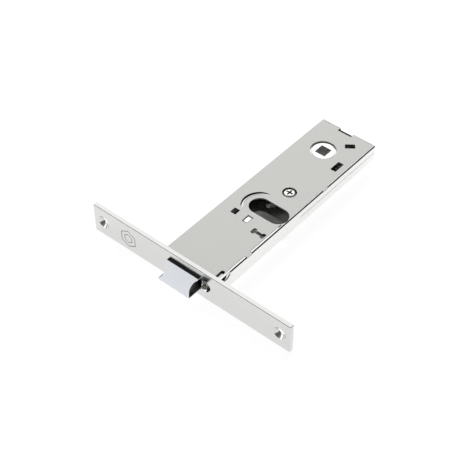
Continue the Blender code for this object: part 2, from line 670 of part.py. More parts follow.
def latch_spring(finish):
    """The latch spring and the rod that keeps it straight."""
    rod_start = LATCH_TAIL + LATCH_THROW + ROD_CLEAR_OF_LATCH
    rod = prism(circle(SPRING_X, MID_Z, ROD_R, 24), rod_start, BRACKET_BACK - OVERCUT - GAP, "Y")
    piece("spring_guide_rod", finish, rod)
    start, end = POCKET_FLOOR + GAP, BRACKET_FRONT - GAP
    wound = coil(SPRING_X, MID_Z, SPRING_COIL_R, SPRING_WIRE_R, start, end, SPRING_TURNS)
    piece("latch_spring", finish, wound)


# ---------------------------------------------------------------- follower
def follower(finish):
    """The hub: square hole, a journal at each face, an arm to the drawbar and one to its spring."""
    axis = (FOLLOWER_X, SPINDLE_BACKSET)
    foot, head = CASE_BOTTOM + FOLLOWER_SINK, CASE_TOP - FOLLOWER_SINK
    profile = [
        (0, foot), (FOLLOWER_JOURNAL_R, foot), (FOLLOWER_JOURNAL_R, INNER_LOW), (FOLLOWER_BODY_R, INNER_LOW),
        (FOLLOWER_BODY_R, INNER_HIGH), (FOLLOWER_JOURNAL_R, INNER_HIGH), (FOLLOWER_JOURNAL_R, head),
        (0, head),
    ]
    rest = FOLLOWER_TURN / 2
    adds = []
    for angle, length in ((math.pi + rest, FOLLOWER_ARM), (rest, SPRING_ARM)):
        tip = (FOLLOWER_X + length * math.cos(angle), SPINDLE_BACKSET + length * math.sin(angle))
        adds.append(prism(bar_between(*axis, *tip, ARM_SLIMMING * FOLLOWER_TIP_R), ARM_LOW, ARM_HIGH))
        adds.append(prism(circle(*tip, FOLLOWER_TIP_R), ARM_LOW, ARM_HIGH))
    half = SPINDLE_SQUARE / 2 + SPINDLE_PLAY
    square = rectangle(axis[0] - half, axis[1] - half, axis[0] + half, axis[1] + half)
    cuts = [prism(square, CASE_BOTTOM - OVERCUT, CASE_TOP + OVERCUT)]
    return piece("follower_hub", finish, lathe(*axis, profile, 48), adds, cuts, (*axis, MID_Z))


def follower_spring_set(steel, plain):
    """The spring that turns the follower back, and the seat that it pushes from."""
    rest = FOLLOWER_TURN / 2
    x = FOLLOWER_X + SPRING_ARM * math.cos(rest) + FOLLOWER_SPRING_OFFSET
    arm_y = SPINDLE_BACKSET + SPRING_ARM * math.sin(rest) - FOLLOWER_TIP_R / math.cos(rest)
    seat_y = SPINDLE_BACKSET - SEAT_BEFORE_SPINDLE
    block = rectangle(x - SEAT_LENGTH / 2, seat_y - SEAT_THICKNESS, x + SEAT_LENGTH / 2, seat_y)
    stub = prism(circle(x, MID_Z, SEAT_STUB_R, 24), seat_y - OVERCUT, seat_y + SEAT_STUB_LENGTH, "Y")
    piece("follower_spring_seat", plain, prism(block, INNER_LOW, INNER_HIGH), [stub])
    start, end = seat_y + GAP, arm_y - 2 * GAP
    wound = coil(x, MID_Z, FOLLOWER_COIL_R, SPRING_WIRE_R, start, end, FOLLOWER_COIL_TURNS)
    piece("follower_spring", steel, wound)


# ---------------------------------------------------------------- key lever
def key_lever(finish):
    """The lever that the cylinder's cam pushes: one arm in the drawbar's notch, one beside the hole."""
    rest = math.pi + LEVER_TURN / 2
    pivot = (LEVER_X, LEVER_Y)
    tip = (LEVER_X + LEVER_ARM * math.cos(rest), LEVER_Y + LEVER_ARM * math.sin(rest))
    nose_y = CYLINDER_BACKSET + CYLINDER_HOLE_WIDTH / 2 + LEVER_NOSE_R + 2 * GAP
    nose = (CYLINDER_X - LEVER_NOSE_FROM_CYLINDER, nose_y)
    adds = [
        prism(bar_between(*pivot, *tip, ARM_SLIMMING * LEVER_TIP_R), ARM_LOW, ARM_HIGH),
        prism(circle(*tip, LEVER_TIP_R), ARM_LOW, ARM_HIGH),
        prism(bar_between(*pivot, *nose, LEVER_NOSE_R), ARM_LOW, ARM_HIGH),
    ]
    cuts = [prism(circle(*pivot, POST_R + GAP), ARM_LOW - OVERCUT, ARM_HIGH + OVERCUT)]
    boss = prism(circle(*pivot, LEVER_BOSS_R), ARM_LOW, ARM_HIGH)
    return piece("key_lever", finish, boss, adds, cuts, (*pivot, MID_Z))


def lever_post(finish):
    """The post that the key lever turns on, with a tapped hole for the cover's screw."""
    shoulder = ARM_LOW - GAP
    profile = [
        (0, INNER_LOW), (POST_FLANGE_R, INNER_LOW), (POST_FLANGE_R, shoulder),
        (POST_R, shoulder), (POST_R, INNER_HIGH), (0, INNER_HIGH),
    ]
    bore = circle(LEVER_X, LEVER_Y, COVER_SCREW_R + GAP, 24)
    hole = prism(bore, MID_Z - OVERCUT, INNER_HIGH + OVERCUT)
    return piece("key_lever_post", finish, lathe(LEVER_X, LEVER_Y, profile), (), [hole])


# ---------------------------------------------------------------- screws
def cover_screw(finish):
    """The screw that holds the cover to the lever post."""
    seat = INNER_HIGH + GAP
    rim = CASE_TOP - COVER_SCREW_DOME
    profile = [
        (0, MID_Z), (COVER_SCREW_R, MID_Z), (COVER_SCREW_R, seat), (COVER_SCREW_HEAD_R, seat),
        (COVER_SCREW_HEAD_R, rim), (COVER_SCREW_HEAD_R - COVER_SCREW_RIM, CASE_TOP),
        (0, CASE_TOP + COVER_SCREW_CROWN),
    ]
    cuts = cross_recess(
        LEVER_X, LEVER_Y, CASE_TOP - RECESS_DEPTH, CASE_TOP + OVERCUT, "Z", COVER_SCREW_SLOT_END
    )
    return piece("cover_screw", finish, lathe(LEVER_X, LEVER_Y, profile), (), cuts)


def cylinder_screw(finish):
    """The long screw from the faceplate to the cylinder hole, drawn back clear of the hole."""
    front = CYLINDER_SCREW_SINK
    back = front + CYLINDER_SCREW_HEAD_HEIGHT
    end = CYLINDER_BACKSET - CYLINDER_HOLE_WIDTH / 2 - 2 * GAP
    head = prism(circle(CYLINDER_SCREW_X, MID_Z, CYLINDER_SCREW_HEAD_R), front, back, "Y")
    shank = prism(circle(CYLINDER_SCREW_X, MID_Z, CYLINDER_SCREW_R, 32), back - GAP, end, "Y")
    cuts = cross_recess(
        CYLINDER_SCREW_X, MID_Z, -OVERCUT, front + RECESS_DEPTH, "Y", CYLINDER_SCREW_SLOT_END
    )
    return piece("cylinder_screw", finish, head, [shank], cuts)


def screw_guide(finish):
    """The upright plate that keeps the long screw straight."""
    front = DOG_BONE_Y - DOG_BONE_BAR / 2
    back = front + SCREW_GUIDE_THICKNESS
    half = SCREW_GUIDE_LENGTH / 2
    base = prism(rectangle(DOG_BONE_X - half, front, DOG_BONE_X + half, back), INNER_LOW, INNER_HIGH)
    bore = circle(CYLINDER_SCREW_X, MID_Z, CYLINDER_SCREW_R + GAP, 32)
    return piece("screw_guide", finish, base, (), [prism(bore, front - OVERCUT, back + OVERCUT, "Y")])


def main():
    for old in list(bpy.data.objects):
        bpy.data.objects.remove(old, do_unlink=True)
    middle = bpy.data.objects.new("faceplate_middle", None)
    middle.location = (0, -FOOTPRINT_MIDDLE, 0)
    bpy.context.scene.collection.objects.link(middle)
    polished = material("polished_steel", (0.78, 0.78, 0.77), 0.16, 1)
    plated = material("plated_sheet", (0.62, 0.62, 0.60), 0.34, 1)
    latch_plate = material("plated_latch", (0.74, 0.77, 0.80), 0.22, 1)
    steel = material("bright_steel", (0.66, 0.66, 0.66), 0.28, 1)
    zinc = material("zinc_casting", (0.55, 0.56, 0.57), 0.4, 1)
    faceplate(polished)
    faceplate_rivets(steel)
    case_body(plated)
    case_cover(plated)
    spacers(steel)
    latch_head(latch_plate)
    drawbar(steel)
    latch_rivets(steel)
    spring_bracket(zinc)
    latch_spring(steel)
    follower(zinc)
    follower_spring_set(steel, zinc)
    key_lever(steel)
    lever_post(steel)
    cover_screw(steel)
    cylinder_screw(steel)
    screw_guide(zinc)


main()
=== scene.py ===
"""Looks of a long mortise lock: a polished faceplate, a plated case and a bevelled latch."""

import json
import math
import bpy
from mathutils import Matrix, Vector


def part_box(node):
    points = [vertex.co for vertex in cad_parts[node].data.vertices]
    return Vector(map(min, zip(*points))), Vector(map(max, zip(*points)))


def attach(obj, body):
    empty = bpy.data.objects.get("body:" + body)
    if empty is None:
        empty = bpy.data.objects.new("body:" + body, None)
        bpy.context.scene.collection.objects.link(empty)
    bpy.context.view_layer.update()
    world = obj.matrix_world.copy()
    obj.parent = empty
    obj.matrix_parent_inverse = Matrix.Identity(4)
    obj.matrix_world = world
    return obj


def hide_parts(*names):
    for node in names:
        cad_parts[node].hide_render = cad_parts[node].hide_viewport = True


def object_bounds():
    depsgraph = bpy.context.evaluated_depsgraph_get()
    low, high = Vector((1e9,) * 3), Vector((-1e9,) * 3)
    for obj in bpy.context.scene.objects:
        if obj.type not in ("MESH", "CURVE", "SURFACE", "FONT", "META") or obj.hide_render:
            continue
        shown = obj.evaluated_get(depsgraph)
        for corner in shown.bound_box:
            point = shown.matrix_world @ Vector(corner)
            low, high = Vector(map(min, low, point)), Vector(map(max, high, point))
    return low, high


bl_info = {
    "name": "Mortise Lock",
    "version": (1, 0, 0),
    "blender": (4, 5, 0),
    "location": "3D View > Sidebar > Lock",
    "description": "Builds the finished pieces of a mortise lock round its packed frame",
    "category": "Object",
}

import bmesh
import bpy
from mathutils import Vector

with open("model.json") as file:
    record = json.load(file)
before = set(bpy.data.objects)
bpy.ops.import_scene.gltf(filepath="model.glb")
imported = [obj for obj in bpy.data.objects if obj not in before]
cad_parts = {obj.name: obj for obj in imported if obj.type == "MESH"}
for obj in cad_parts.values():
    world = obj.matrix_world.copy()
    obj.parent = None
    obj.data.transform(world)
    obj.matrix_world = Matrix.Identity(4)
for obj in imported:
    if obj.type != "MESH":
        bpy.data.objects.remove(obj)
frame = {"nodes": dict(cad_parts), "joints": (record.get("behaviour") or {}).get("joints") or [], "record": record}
CAD_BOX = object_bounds()

MM = 0.001
SAME = 1e-6  # two places closer than this are one place
OVERCUT = 1 * MM  # how far a cutter stands out of what it cuts


def box_of(node):
    """A CAD node's low and high corners."""
    low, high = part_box(node)
    return Vector(low), Vector(high)


# Places, read from the frame
FACE_LOW, FACE_HIGH = box_of("faceplate")
BODY_LOW, BODY_HIGH = box_of("case_body")
COVER_LOW, COVER_HIGH = box_of("case_cover")
LATCH_LOW, LATCH_HIGH = box_of("latch_head")
SCREW_LOW, SCREW_HIGH = box_of("cylinder_screw")
FRONT = FACE_LOW.y
MIDDLE_Z = (FACE_LOW.z + FACE_HIGH.z) / 2
SCREW_X = (SCREW_LOW.x + SCREW_HIGH.x) / 2
JOINTS = {joint["name"]: joint for joint in frame["joints"]}
FOLLOWER_AXIS = Vector(JOINTS["follower_turn"]["pos_m"])
LEVER_AXIS = Vector(JOINTS["key_lever_swing"]["pos_m"])
BODY_OF = {
    node: body
    for body, nodes in frame["record"]["behaviour"]["bodies"].items()
    for node in nodes
}

# Places and sizes that more than one piece shares
TAB_PLACES = (33 * MM, 110.5 * MM)  # middles of the cover's side tabs, in from the front
NOTCH_LEFT, NOTCH_RIGHT = -7.2 * MM, 4 * MM  # sides of the notch at the far end
PIN_HOLE = 1.4 * MM  # radius of the hole for a faceplate rivet
PIN_SIDES = 32
SHARP_ANGLE = 35  # degrees; a steeper edge is rounded and stays crisp


def inward(distance):
    """The Y of a place that lies a distance in from the faceplate's outer face."""
    return FRONT + distance


# ---- settings
class LockSizes(bpy.types.PropertyGroup):
    """Sizes of the finishing details."""

    edge_radius: bpy.props.FloatProperty(
        name="Edge radius", description="How round the edges of machined pieces are",
        default=0.25 * MM, min=0, unit="LENGTH",
    )
    sheet_edge: bpy.props.FloatProperty(
        name="Sheet edge", description="How round the punched edges of sheet are",
        default=0.22 * MM, min=0, unit="LENGTH",
    )
    fold_radius: bpy.props.FloatProperty(
        name="Fold radius", description="Outer radius where the case's walls meet its floor",
        default=1.1 * MM, min=0, unit="LENGTH",
    )
    rim_radius: bpy.props.FloatProperty(
        name="Rim radius", description="How round the outer rim of the right wall is",
        default=0.9 * MM, min=0, unit="LENGTH",
    )
    front_chamfer: bpy.props.FloatProperty(
        name="Front chamfer", description="How far the faceplate's long upper front edge is broken",
        default=0.22 * MM, min=0, unit="LENGTH",
    )
    plate_thickness: bpy.props.FloatProperty(
        name="Faceplate thickness", description="Thickness of the faceplate",
        default=3 * MM, min=0, unit="LENGTH",
    )
    sheet: bpy.props.FloatProperty(
        name="Sheet thickness", description="Thickness of the case's sheet",
        default=1 * MM, min=0, unit="LENGTH",
    )
    mark_depth: bpy.props.FloatProperty(
        name="Mark depth", description="Depth of the plain mark on the faceplate",
        default=0.2 * MM, min=0, unit="LENGTH",
    )


class LockColours(bpy.types.PropertyGroup):
    """Colours of the finishes."""

    faceplate: bpy.props.FloatVectorProperty(
        name="Faceplate", description="Polished faceplate", subtype="COLOR", size=3,
        default=(0.70, 0.70, 0.69), min=0, max=1,
    )
    case: bpy.props.FloatVectorProperty(
        name="Case", description="Plated case sheet", subtype="COLOR", size=3, default=(0.62, 0.62, 0.60),
        min=0, max=1,
    )
    # The tray is the same sheet as the cover in a paler colour: painted light that stands in for its brightly lit
    # walls.
    tray: bpy.props.FloatVectorProperty(
        name="Tray", description="Bright plated tray", subtype="COLOR", size=3, default=(0.92, 0.92, 0.91),
        min=0, max=1,
    )
    latch: bpy.props.FloatVectorProperty(
        name="Latch", description="Plated latch head", subtype="COLOR", size=3, default=(0.80, 0.86, 0.90),
        min=0, max=1,
    )
    steel: bpy.props.FloatVectorProperty(
        name="Steel", description="Bright steel of pins, screws and springs", subtype="COLOR", size=3,
        default=(0.82, 0.82, 0.80), min=0, max=1,
    )
    casting: bpy.props.FloatVectorProperty(
        name="Casting", description="Zinc castings", subtype="COLOR", size=3, default=(0.93, 0.93, 0.92),
        min=0, max=1,
    )


# ---- modelling helpers
def clear_selection():
    """Nothing selected, object mode."""
    if bpy.context.object and bpy.context.object.mode != "OBJECT":
        bpy.ops.object.mode_set(mode="OBJECT")
    bpy.ops.object.select_all(action="DESELECT")


def activate(piece):
    """Select one piece alone and make it active."""
    clear_selection()
    piece.select_set(True)
    bpy.context.view_layer.objects.active = piece


def settle(name):
    """Name the new primitive and put its place into its mesh."""
    piece = bpy.context.object
    piece.name = name
    bpy.ops.object.transform_apply(location=True, rotation=True, scale=True)
    return piece


def block(name, low, high):
    """A box between two corners."""
    clear_selection()
    low, high = Vector(low), Vector(high)
    bpy.ops.mesh.primitive_cube_add(size=1, location=(low + high) / 2, scale=high - low)
    return settle(name)


def rod(name, across, radius, low, high, axis="Z", sides=96):
    """A cylinder along an axis; `across` holds its centre's two other coordinates."""
    clear_selection()
    middle = (low + high) / 2
    place, turn = {
        "Z": ((across[0], across[1], middle), (0, 0, 0)),
        "Y": ((across[0], middle, across[1]), (math.pi / 2, 0, 0)),
        "X": ((middle, across[0], across[1]), (0, math.pi / 2, 0)),
    }[axis]
    bpy.ops.mesh.primitive_cylinder_add(
        vertices=sides, radius=radius, depth=high - low, location=place, rotation=turn
    )
    return settle(name)


def start_edit(piece, kind="VERT", action="DESELECT"):
    """Edit mode with nothing or everything selected; returns the mesh to select in."""
    activate(piece)
    bpy.ops.object.mode_set(mode="EDIT")
    bpy.ops.mesh.select_mode(type=kind)
    bpy.ops.mesh.select_all(action=action)
    return bmesh.from_edit_mesh(piece.data)


def end_edit():
    """Back to object mode."""
    bpy.ops.object.mode_set(mode="OBJECT")


def bevel_edges(piece, wanted, radius, steps):
    """Round the edges whose two ends pass a test."""
    mesh = start_edit(piece, "EDGE")
    for edge in mesh.edges:
        if wanted(edge.verts[0].co, edge.verts[1].co):
            edge.select_set(True)
    bmesh.update_edit_mesh(piece.data)
    bpy.ops.mesh.bevel(offset=radius, segments=steps, affect="EDGES")
    end_edit()
    return piece


def select_faces(piece, wanted):
    """Select the faces whose centre and normal pass a test."""
    mesh = start_edit(piece, "FACE")
    for face in mesh.faces:
        if wanted(face.calc_center_median(), face.normal):
            face.select_set(True)
    bmesh.update_edit_mesh(piece.data)


def round_along(piece, axis, radius, steps):
    """Round the edges that run along one axis."""
    others = [i for i in range(3) if i != "XYZ".index(axis)]
    return bevel_edges(piece, lambda a, b: all(abs(a[i] - b[i]) < SAME for i in others), radius, steps)


def plane_off(piece, place, facing):
    """Cut a piece with a plane, take off what lies beyond it and close the cut."""
    start_edit(piece, action="SELECT")
    bpy.ops.mesh.bisect(
        plane_co=place, plane_no=facing.normalized(), use_fill=True, clear_outer=True, threshold=SAME,
    )
    end_edit()


def apply_change(piece, change):
    """Apply a piece's modifier."""
    activate(piece)
    bpy.ops.object.modifier_apply(modifier=change.name)


def join_or_cut(piece, operation, tools, material_mode="INDEX"):
    """Join the tools to a piece or cut them out of it, and remove them."""
    for tool in tools:
        change = piece.modifiers.new(operation, "BOOLEAN")
        change.operation = operation
        change.solver = "EXACT"
        change.material_mode = material_mode
        change.object = tool
        apply_change(piece, change)
        bpy.data.objects.remove(tool, do_unlink=True)
    return piece


def soften(piece, width, steps=2):
    """Round every sharp edge a little, in the paler edge finish (wear and a painted highlight), and shade the
    piece.
    """
    start_edit(piece, action="SELECT")
    bpy.ops.mesh.remove_doubles(threshold=SAME)
    bpy.ops.mesh.dissolve_limited(angle_limit=math.radians(0.3))
    end_edit()
    if width > 0:
        change = piece.modifiers.new("edges", "BEVEL")
        change.width = width
        change.segments = steps
        change.limit_method = "ANGLE"
        change.angle_limit = math.radians(SHARP_ANGLE)
        change.harden_normals = False
        change.material = 1 if len(piece.material_slots) > 1 else -1
        apply_change(piece, change)
    shade(piece, SHARP_ANGLE)


def shade(piece, angle):
    """Shade smooth below an angle, with large faces kept flat."""
    activate(piece)
    bpy.ops.object.shade_smooth_by_angle(angle=math.radians(angle))
    even = piece.modifiers.new("even_normals", "WEIGHTED_NORMAL")
    even.keep_sharp = True
    even.weight = 80
    apply_change(piece, even)


def dress(piece, finish, edge=None):
    """Give a piece its finish, and another for its edges, which is mostly a paler one for wear and a painted
    highlight.
    """
    piece.data.materials.clear()
    piece.data.materials.append(finish)
    if edge:
        piece.data.materials.append(edge)
    return piece


def refinish(piece, finish, wanted):
    """Give another finish to the faces whose centre and normal pass a test."""
    piece.data.materials.append(finish)
    number = len(piece.data.materials) - 1
    for face in piece.data.polygons:
        if wanted(face.center, face.normal):
            face.material_index = number


def stand_for(piece, node):
    """Let a piece take a CAD node's place on its body."""
    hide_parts(node)
    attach(piece, BODY_OF[node])


def copy_of(node, name):
    """A cleaned copy of a CAD node's solid, to finish by hand."""
    activate(frame["nodes"][node])
    bpy.ops.object.duplicate()
    piece = bpy.context.object
    piece.parent = None
    for key in list(piece.keys()):
        if key.startswith("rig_"):
            del piece[key]
    piece.name = name
    piece.data.name = name
    start_edit(piece, action="SELECT")
    bpy.ops.mesh.remove_doubles(threshold=2 * SAME)
    bpy.ops.mesh.customdata_custom_splitnormals_clear()
    end_edit()
    return piece


# ---- material helpers
def effect_group(name, amount, usual, masks):
    """An empty node group that takes a place and one amount and gives masks, with its two ends."""
    group = bpy.data.node_groups.new(name, "ShaderNodeTree")
    face = group.interface
    face.new_socket(name="Vector", in_out="INPUT", socket_type="NodeSocketVector")
    face.new_socket(name=amount, in_out="INPUT", socket_type="NodeSocketFloat").default_value = usual
    for mask in masks:
        face.new_socket(name=mask, in_out="OUTPUT", socket_type="NodeSocketFloat")
    return group, group.nodes.new("NodeGroupInput").outputs, group.nodes.new("NodeGroupOutput").inputs


def add_node(tree, kind, links=(), **settings):
    """A node with its settings, and its inputs linked or set."""
    node = tree.nodes.new(kind)
    for key, value in settings.items():
        setattr(node, key, value)
    for label, value in dict(links).items():
        if isinstance(value, bpy.types.NodeSocket):
            tree.links.new(value, node.inputs[label])
        else:
            node.inputs[label].default_value = value
    return node


def maths(tree, operation, *values):
    """The result of a sum on numbers or other nodes' outputs."""
    return add_node(tree, "ShaderNodeMath", dict(enumerate(values)), operation=operation).outputs[0]


def remap(tree, value, given=(0, 1), wanted=(0, 1)):
    """A value moved from one range onto another and held inside it."""
    ends = {"From Min": given[0], "From Max": given[1], "To Min": wanted[0], "To Max": wanted[1]}
    return add_node(tree, "ShaderNodeMapRange", {"Value": value, **ends}).outputs["Result"]


def noise(tree, place, scale, detail, roughness=0.5, distortion=0.0):
    """Noise at a place."""
    return add_node(
        tree, "ShaderNodeTexNoise",
        {"Vector": place, "Scale": scale, "Detail": detail, "Roughness": roughness, "Distortion": distortion},
    ).outputs["Fac"]


def scaled(tree, place, amount):
    """A place moved out from the origin by one amount all round."""
    return add_node(
        tree, "ShaderNodeVectorMath", {0: place, "Scale": amount}, operation="SCALE",
    ).outputs["Vector"]


def mapped(tree, place, turn=(0, 0, 0), stretch=(1, 1, 1)):
    """A place turned and stretched."""
    return add_node(
        tree, "ShaderNodeMapping", {"Vector": place, "Rotation": turn, "Scale": stretch},
    ).outputs["Vector"]


def blend(tree, factor, colour, other):
    """A colour with another mixed into it."""
    return add_node(
        tree, "ShaderNodeMix", {"Factor": factor, "A": colour, "B": other}, data_type="RGBA",
    ).outputs["Result"]


def grain_group():
    """Fine speckle of rolled or plated metal, at two scales."""
    group, given, result = effect_group("fine_grain", "Scale", 1.0, ("Mask", "Height"))
    coarse = noise(group, given["Vector"], 420.0, 5.0, roughness=0.6)
    place = scaled(group, given["Vector"], given["Scale"])
    fine = noise(group, place, 2600.0, 3.0, roughness=0.7)
    both = maths(group, "MULTIPLY", coarse, fine)
    group.links.new(remap(group, both, (0.12, 0.4)), result["Mask"])
    group.links.new(fine, result["Height"])
    return group


def brush_group():
    """Long fine lines left by polishing or rolling, along X of the given vector."""
    group, given, result = effect_group("brushed_lines", "Density", 1.0, ("Mask", "Height"))
    stretched = mapped(group, given["Vector"], stretch=(18.0, 2400.0, 2400.0))
    lines = noise(group, scaled(group, stretched, given["Density"]), 1.0, 4.0)
    group.links.new(remap(group, lines, (0.3, 0.7)), result["Mask"])
    group.links.new(lines, result["Height"])
    return group


def handling_group():
    """Soft smudges and a few hairline scratches from handling."""
    group, given, result = effect_group("handling_marks", "Smudge Scale", 60.0, ("Smudge", "Scratch"))
    place = given["Vector"]
    cloud = noise(group, place, given["Smudge Scale"], 3.0, distortion=0.6)
    group.links.new(remap(group, cloud, (0.42, 0.72)), result["Smudge"])
    lines = []
    for turn in (0.35, 1.25, 2.3):
        bent = mapped(group, place, (0.2, 0.3, turn), (14.0, 900.0, 900.0))
        lines.append(remap(group, noise(group, bent, 1.0, 1.0), (0.73, 0.78)))
    scratch = maths(group, "MAXIMUM", maths(group, "MAXIMUM", lines[0], lines[1]), lines[2])
    group.links.new(scratch, result["Scratch"])
    return group


def shared_group(tree, name, place):
    """A shared effect at a place in a finish; it is built the first time it is asked for."""
    makers = {"fine_grain": grain_group, "brushed_lines": brush_group, "handling_marks": handling_group}
    group = bpy.data.node_groups.get(name) or makers[name]()
    return add_node(tree, "ShaderNodeGroup", {"Vector": place}, node_tree=group).outputs


def metal(name, colour, roughness, brush_turn=(0, 0, 0), brush=0.3, grain=0.3, marks=0.3, bump=0.02):
    """A metal finish: grain and brushing vary its colour and roughness, handling dulls it in places."""
    known = bpy.data.materials.get(name)
    if known:
        return known
    made = bpy.data.materials.new(name)
    made.use_nodes = True
    tree = made.node_tree
    shader = tree.nodes["Principled BSDF"]
    shader.inputs["Metallic"].default_value = 1.0
    place = add_node(tree, "ShaderNodeTexCoord").outputs["Object"]
    speckle = shared_group(tree, "fine_grain", place)
    lines = shared_group(tree, "brushed_lines", mapped(tree, place, brush_turn))
    handling = shared_group(tree, "handling_marks", place)
    darker = (*(0.86 * c for c in colour), 1)
    lighter = (*(min(1.0, 1.05 * c) for c in colour), 1)
    tone = blend(tree, maths(tree, "MULTIPLY", speckle["Mask"], grain), (*colour, 1), darker)
    tone = blend(tree, maths(tree, "MULTIPLY", lines["Mask"], brush * 0.5), tone, lighter)
    tone = blend(tree, maths(tree, "MULTIPLY", handling["Scratch"], marks * 0.6), tone, lighter)
    tree.links.new(tone, shader.inputs["Base Color"])
    rough = maths(tree, "MULTIPLY_ADD", handling["Smudge"], 0.10 * marks, roughness)
    rough = maths(tree, "MULTIPLY_ADD", lines["Mask"], 0.08 * brush, rough)
    rough = maths(tree, "MULTIPLY_ADD", handling["Scratch"], 0.12 * marks, rough)
    tree.links.new(rough, shader.inputs["Roughness"])
    height = maths(tree, "MULTIPLY_ADD", lines["Height"], brush, speckle["Height"])
    height = maths(tree, "MULTIPLY_ADD", handling["Scratch"], -0.5 * marks, height)
    relief = add_node(tree, "ShaderNodeBump", {"Height": height, "Strength": bump, "Distance": 0.0002})
    tree.links.new(relief.outputs["Normal"], shader.inputs["Normal"])
    return made


def finishes():
    """Every finish by name, in the colours that are set."""
    colours = bpy.context.scene.lock_colours
    along_y = (0, 0, math.pi / 2)

    def toned(colour, amount):
        return tuple(min(1.0, amount * c) for c in colour)

    plate, case, tray = tuple(colours.faceplate), tuple(colours.case), tuple(colours.tray)
    latch, steel, casting = tuple(colours.latch), tuple(colours.steel), tuple(colours.casting)
    wear_and_highlight = 1.08  # how much paler an edge is: partly wear, partly a painted highlight along the edge

    return {
        "faceplate": metal("polished_faceplate", plate, 0.13, brush=0.5, grain=0.2, marks=0.4),
        "faceplate_edge": metal("polished_faceplate_edge", toned(plate, wear_and_highlight), 0.10, brush=0.2),
        "case": metal("plated_sheet", case, 0.27, brush_turn=along_y, brush=0.35, grain=0.4),
        "case_edge": metal("punched_edge", toned(case, wear_and_highlight), 0.16, grain=0.4, brush=0.1),
        # Painted light: the tray's sheet is paler than the cover's same sheet, to brighten its walls.
        "tray": metal("sheet_painted_bright", tray, 0.24, brush_turn=along_y, brush=0.3, grain=0.3),
        # Painted shade: the tray's inner faces are darker than its sheet; their higher roughness is real.
        "inside": metal("dull_sheet_painted_shade", toned(tray, 0.7), 0.5, brush_turn=along_y, grain=0.6),
        "tray_edge": metal("punched_edge_painted_bright", tray, 0.14, grain=0.3, brush=0.1),
        "latch": metal("plated_latch", latch, 0.20, brush=0.3, grain=0.3, marks=0.4),
        "latch_edge": metal("latch_edge_wear_and_highlight", toned(latch, wear_and_highlight), 0.14, brush=0.1),
        "steel": metal("bright_steel", steel, 0.24, brush=0.4, grain=0.3),
        "steel_edge": metal("bright_steel_edge", toned(steel, wear_and_highlight), 0.18, brush=0.1),
        "spring": metal("spring_wire", steel, 0.20, brush=0.2, grain=0.2, marks=0.2),
        "hub": metal("bright_casting", casting, 0.15, brush=0.2, grain=0.25, marks=0.3),
        "hub_edge": metal("bright_casting_edge", toned(casting, wear_and_highlight), 0.12, brush=0.1),
        # Near black: painted shade in grooves, holes and recesses, on the latch's top and as dark lines along
        # edges; it also colours the engraved mark.
        "etch_and_painted_shade": metal("etched_and_painted_shade_steel", toned(plate, 0.12), 0.45, brush=0.1, grain=0.6),
        # Near black: painted shade for the sunk cylinder screw's head and the screw guide inside the case.
        "dark": metal("near_black_painted_shade", toned(casting, 0.25), 0.45, brush=0.1, grain=0.7),
        "casting": metal("zinc_casting", casting, 0.34, brush=0.1, grain=0.8, bump=0.05),
        "casting_edge": metal("zinc_casting_edge", toned(casting, wear_and_highlight), 0.26, brush=0.1, grain=0.5),
    }


# ---- shared cutters
def round_block(name, low, high, radius, axis, steps):
    """A box with the edges along one axis rounded."""
    return round_along(block(name, low, high), axis, radius, steps)


def oval_tool(name, low, high):
    """A box whose two ends are half circles."""
    half = min(high[0] - low[0], high[1] - low[1]) / 2
    nearly = 0.999  # a whole half would leave the two rounds touching
    return round_block(name, low, high, nearly * half, "Z", 24)


def cylinder_hole(low, high):
    """A cutter for the long oval hole that takes the lock's cylinder, between two heights."""
    left, near, right, far = -8.1 * MM, inward(63.6 * MM), 21.3 * MM, inward(78.4 * MM)
    return oval_tool("cylinder_hole", (left, near, low), (right, far, high))


def tab_notches():
    """Cutters for the two notches that the cover's side tabs lie in."""
    reach, top = 2.7 * MM, BODY_HIGH.z
    return [
        block("tab_notch", (0, inward(place - reach), top - 1.3 * MM),
              (BODY_HIGH.x + OVERCUT, inward(place + reach), top + OVERCUT))
        for place in TAB_PLACES
    ]


def cross_tools(across, low, high, axis, size, width):
    """Two crossed bars for a screwdriver recess."""
    a, b = across
    bars = []
    for reach_a, reach_b in ((size, width), (width, size)):
        corner_low = {"Z": (a - reach_a, b - reach_b, low), "Y": (a - reach_a, low, b - reach_b)}[axis]
        corner_high = {"Z": (a + reach_a, b + reach_b, high), "Y": (a + reach_a, high, b + reach_b)}[axis]
        bars.append(block("recess", corner_low, corner_high))
    return bars


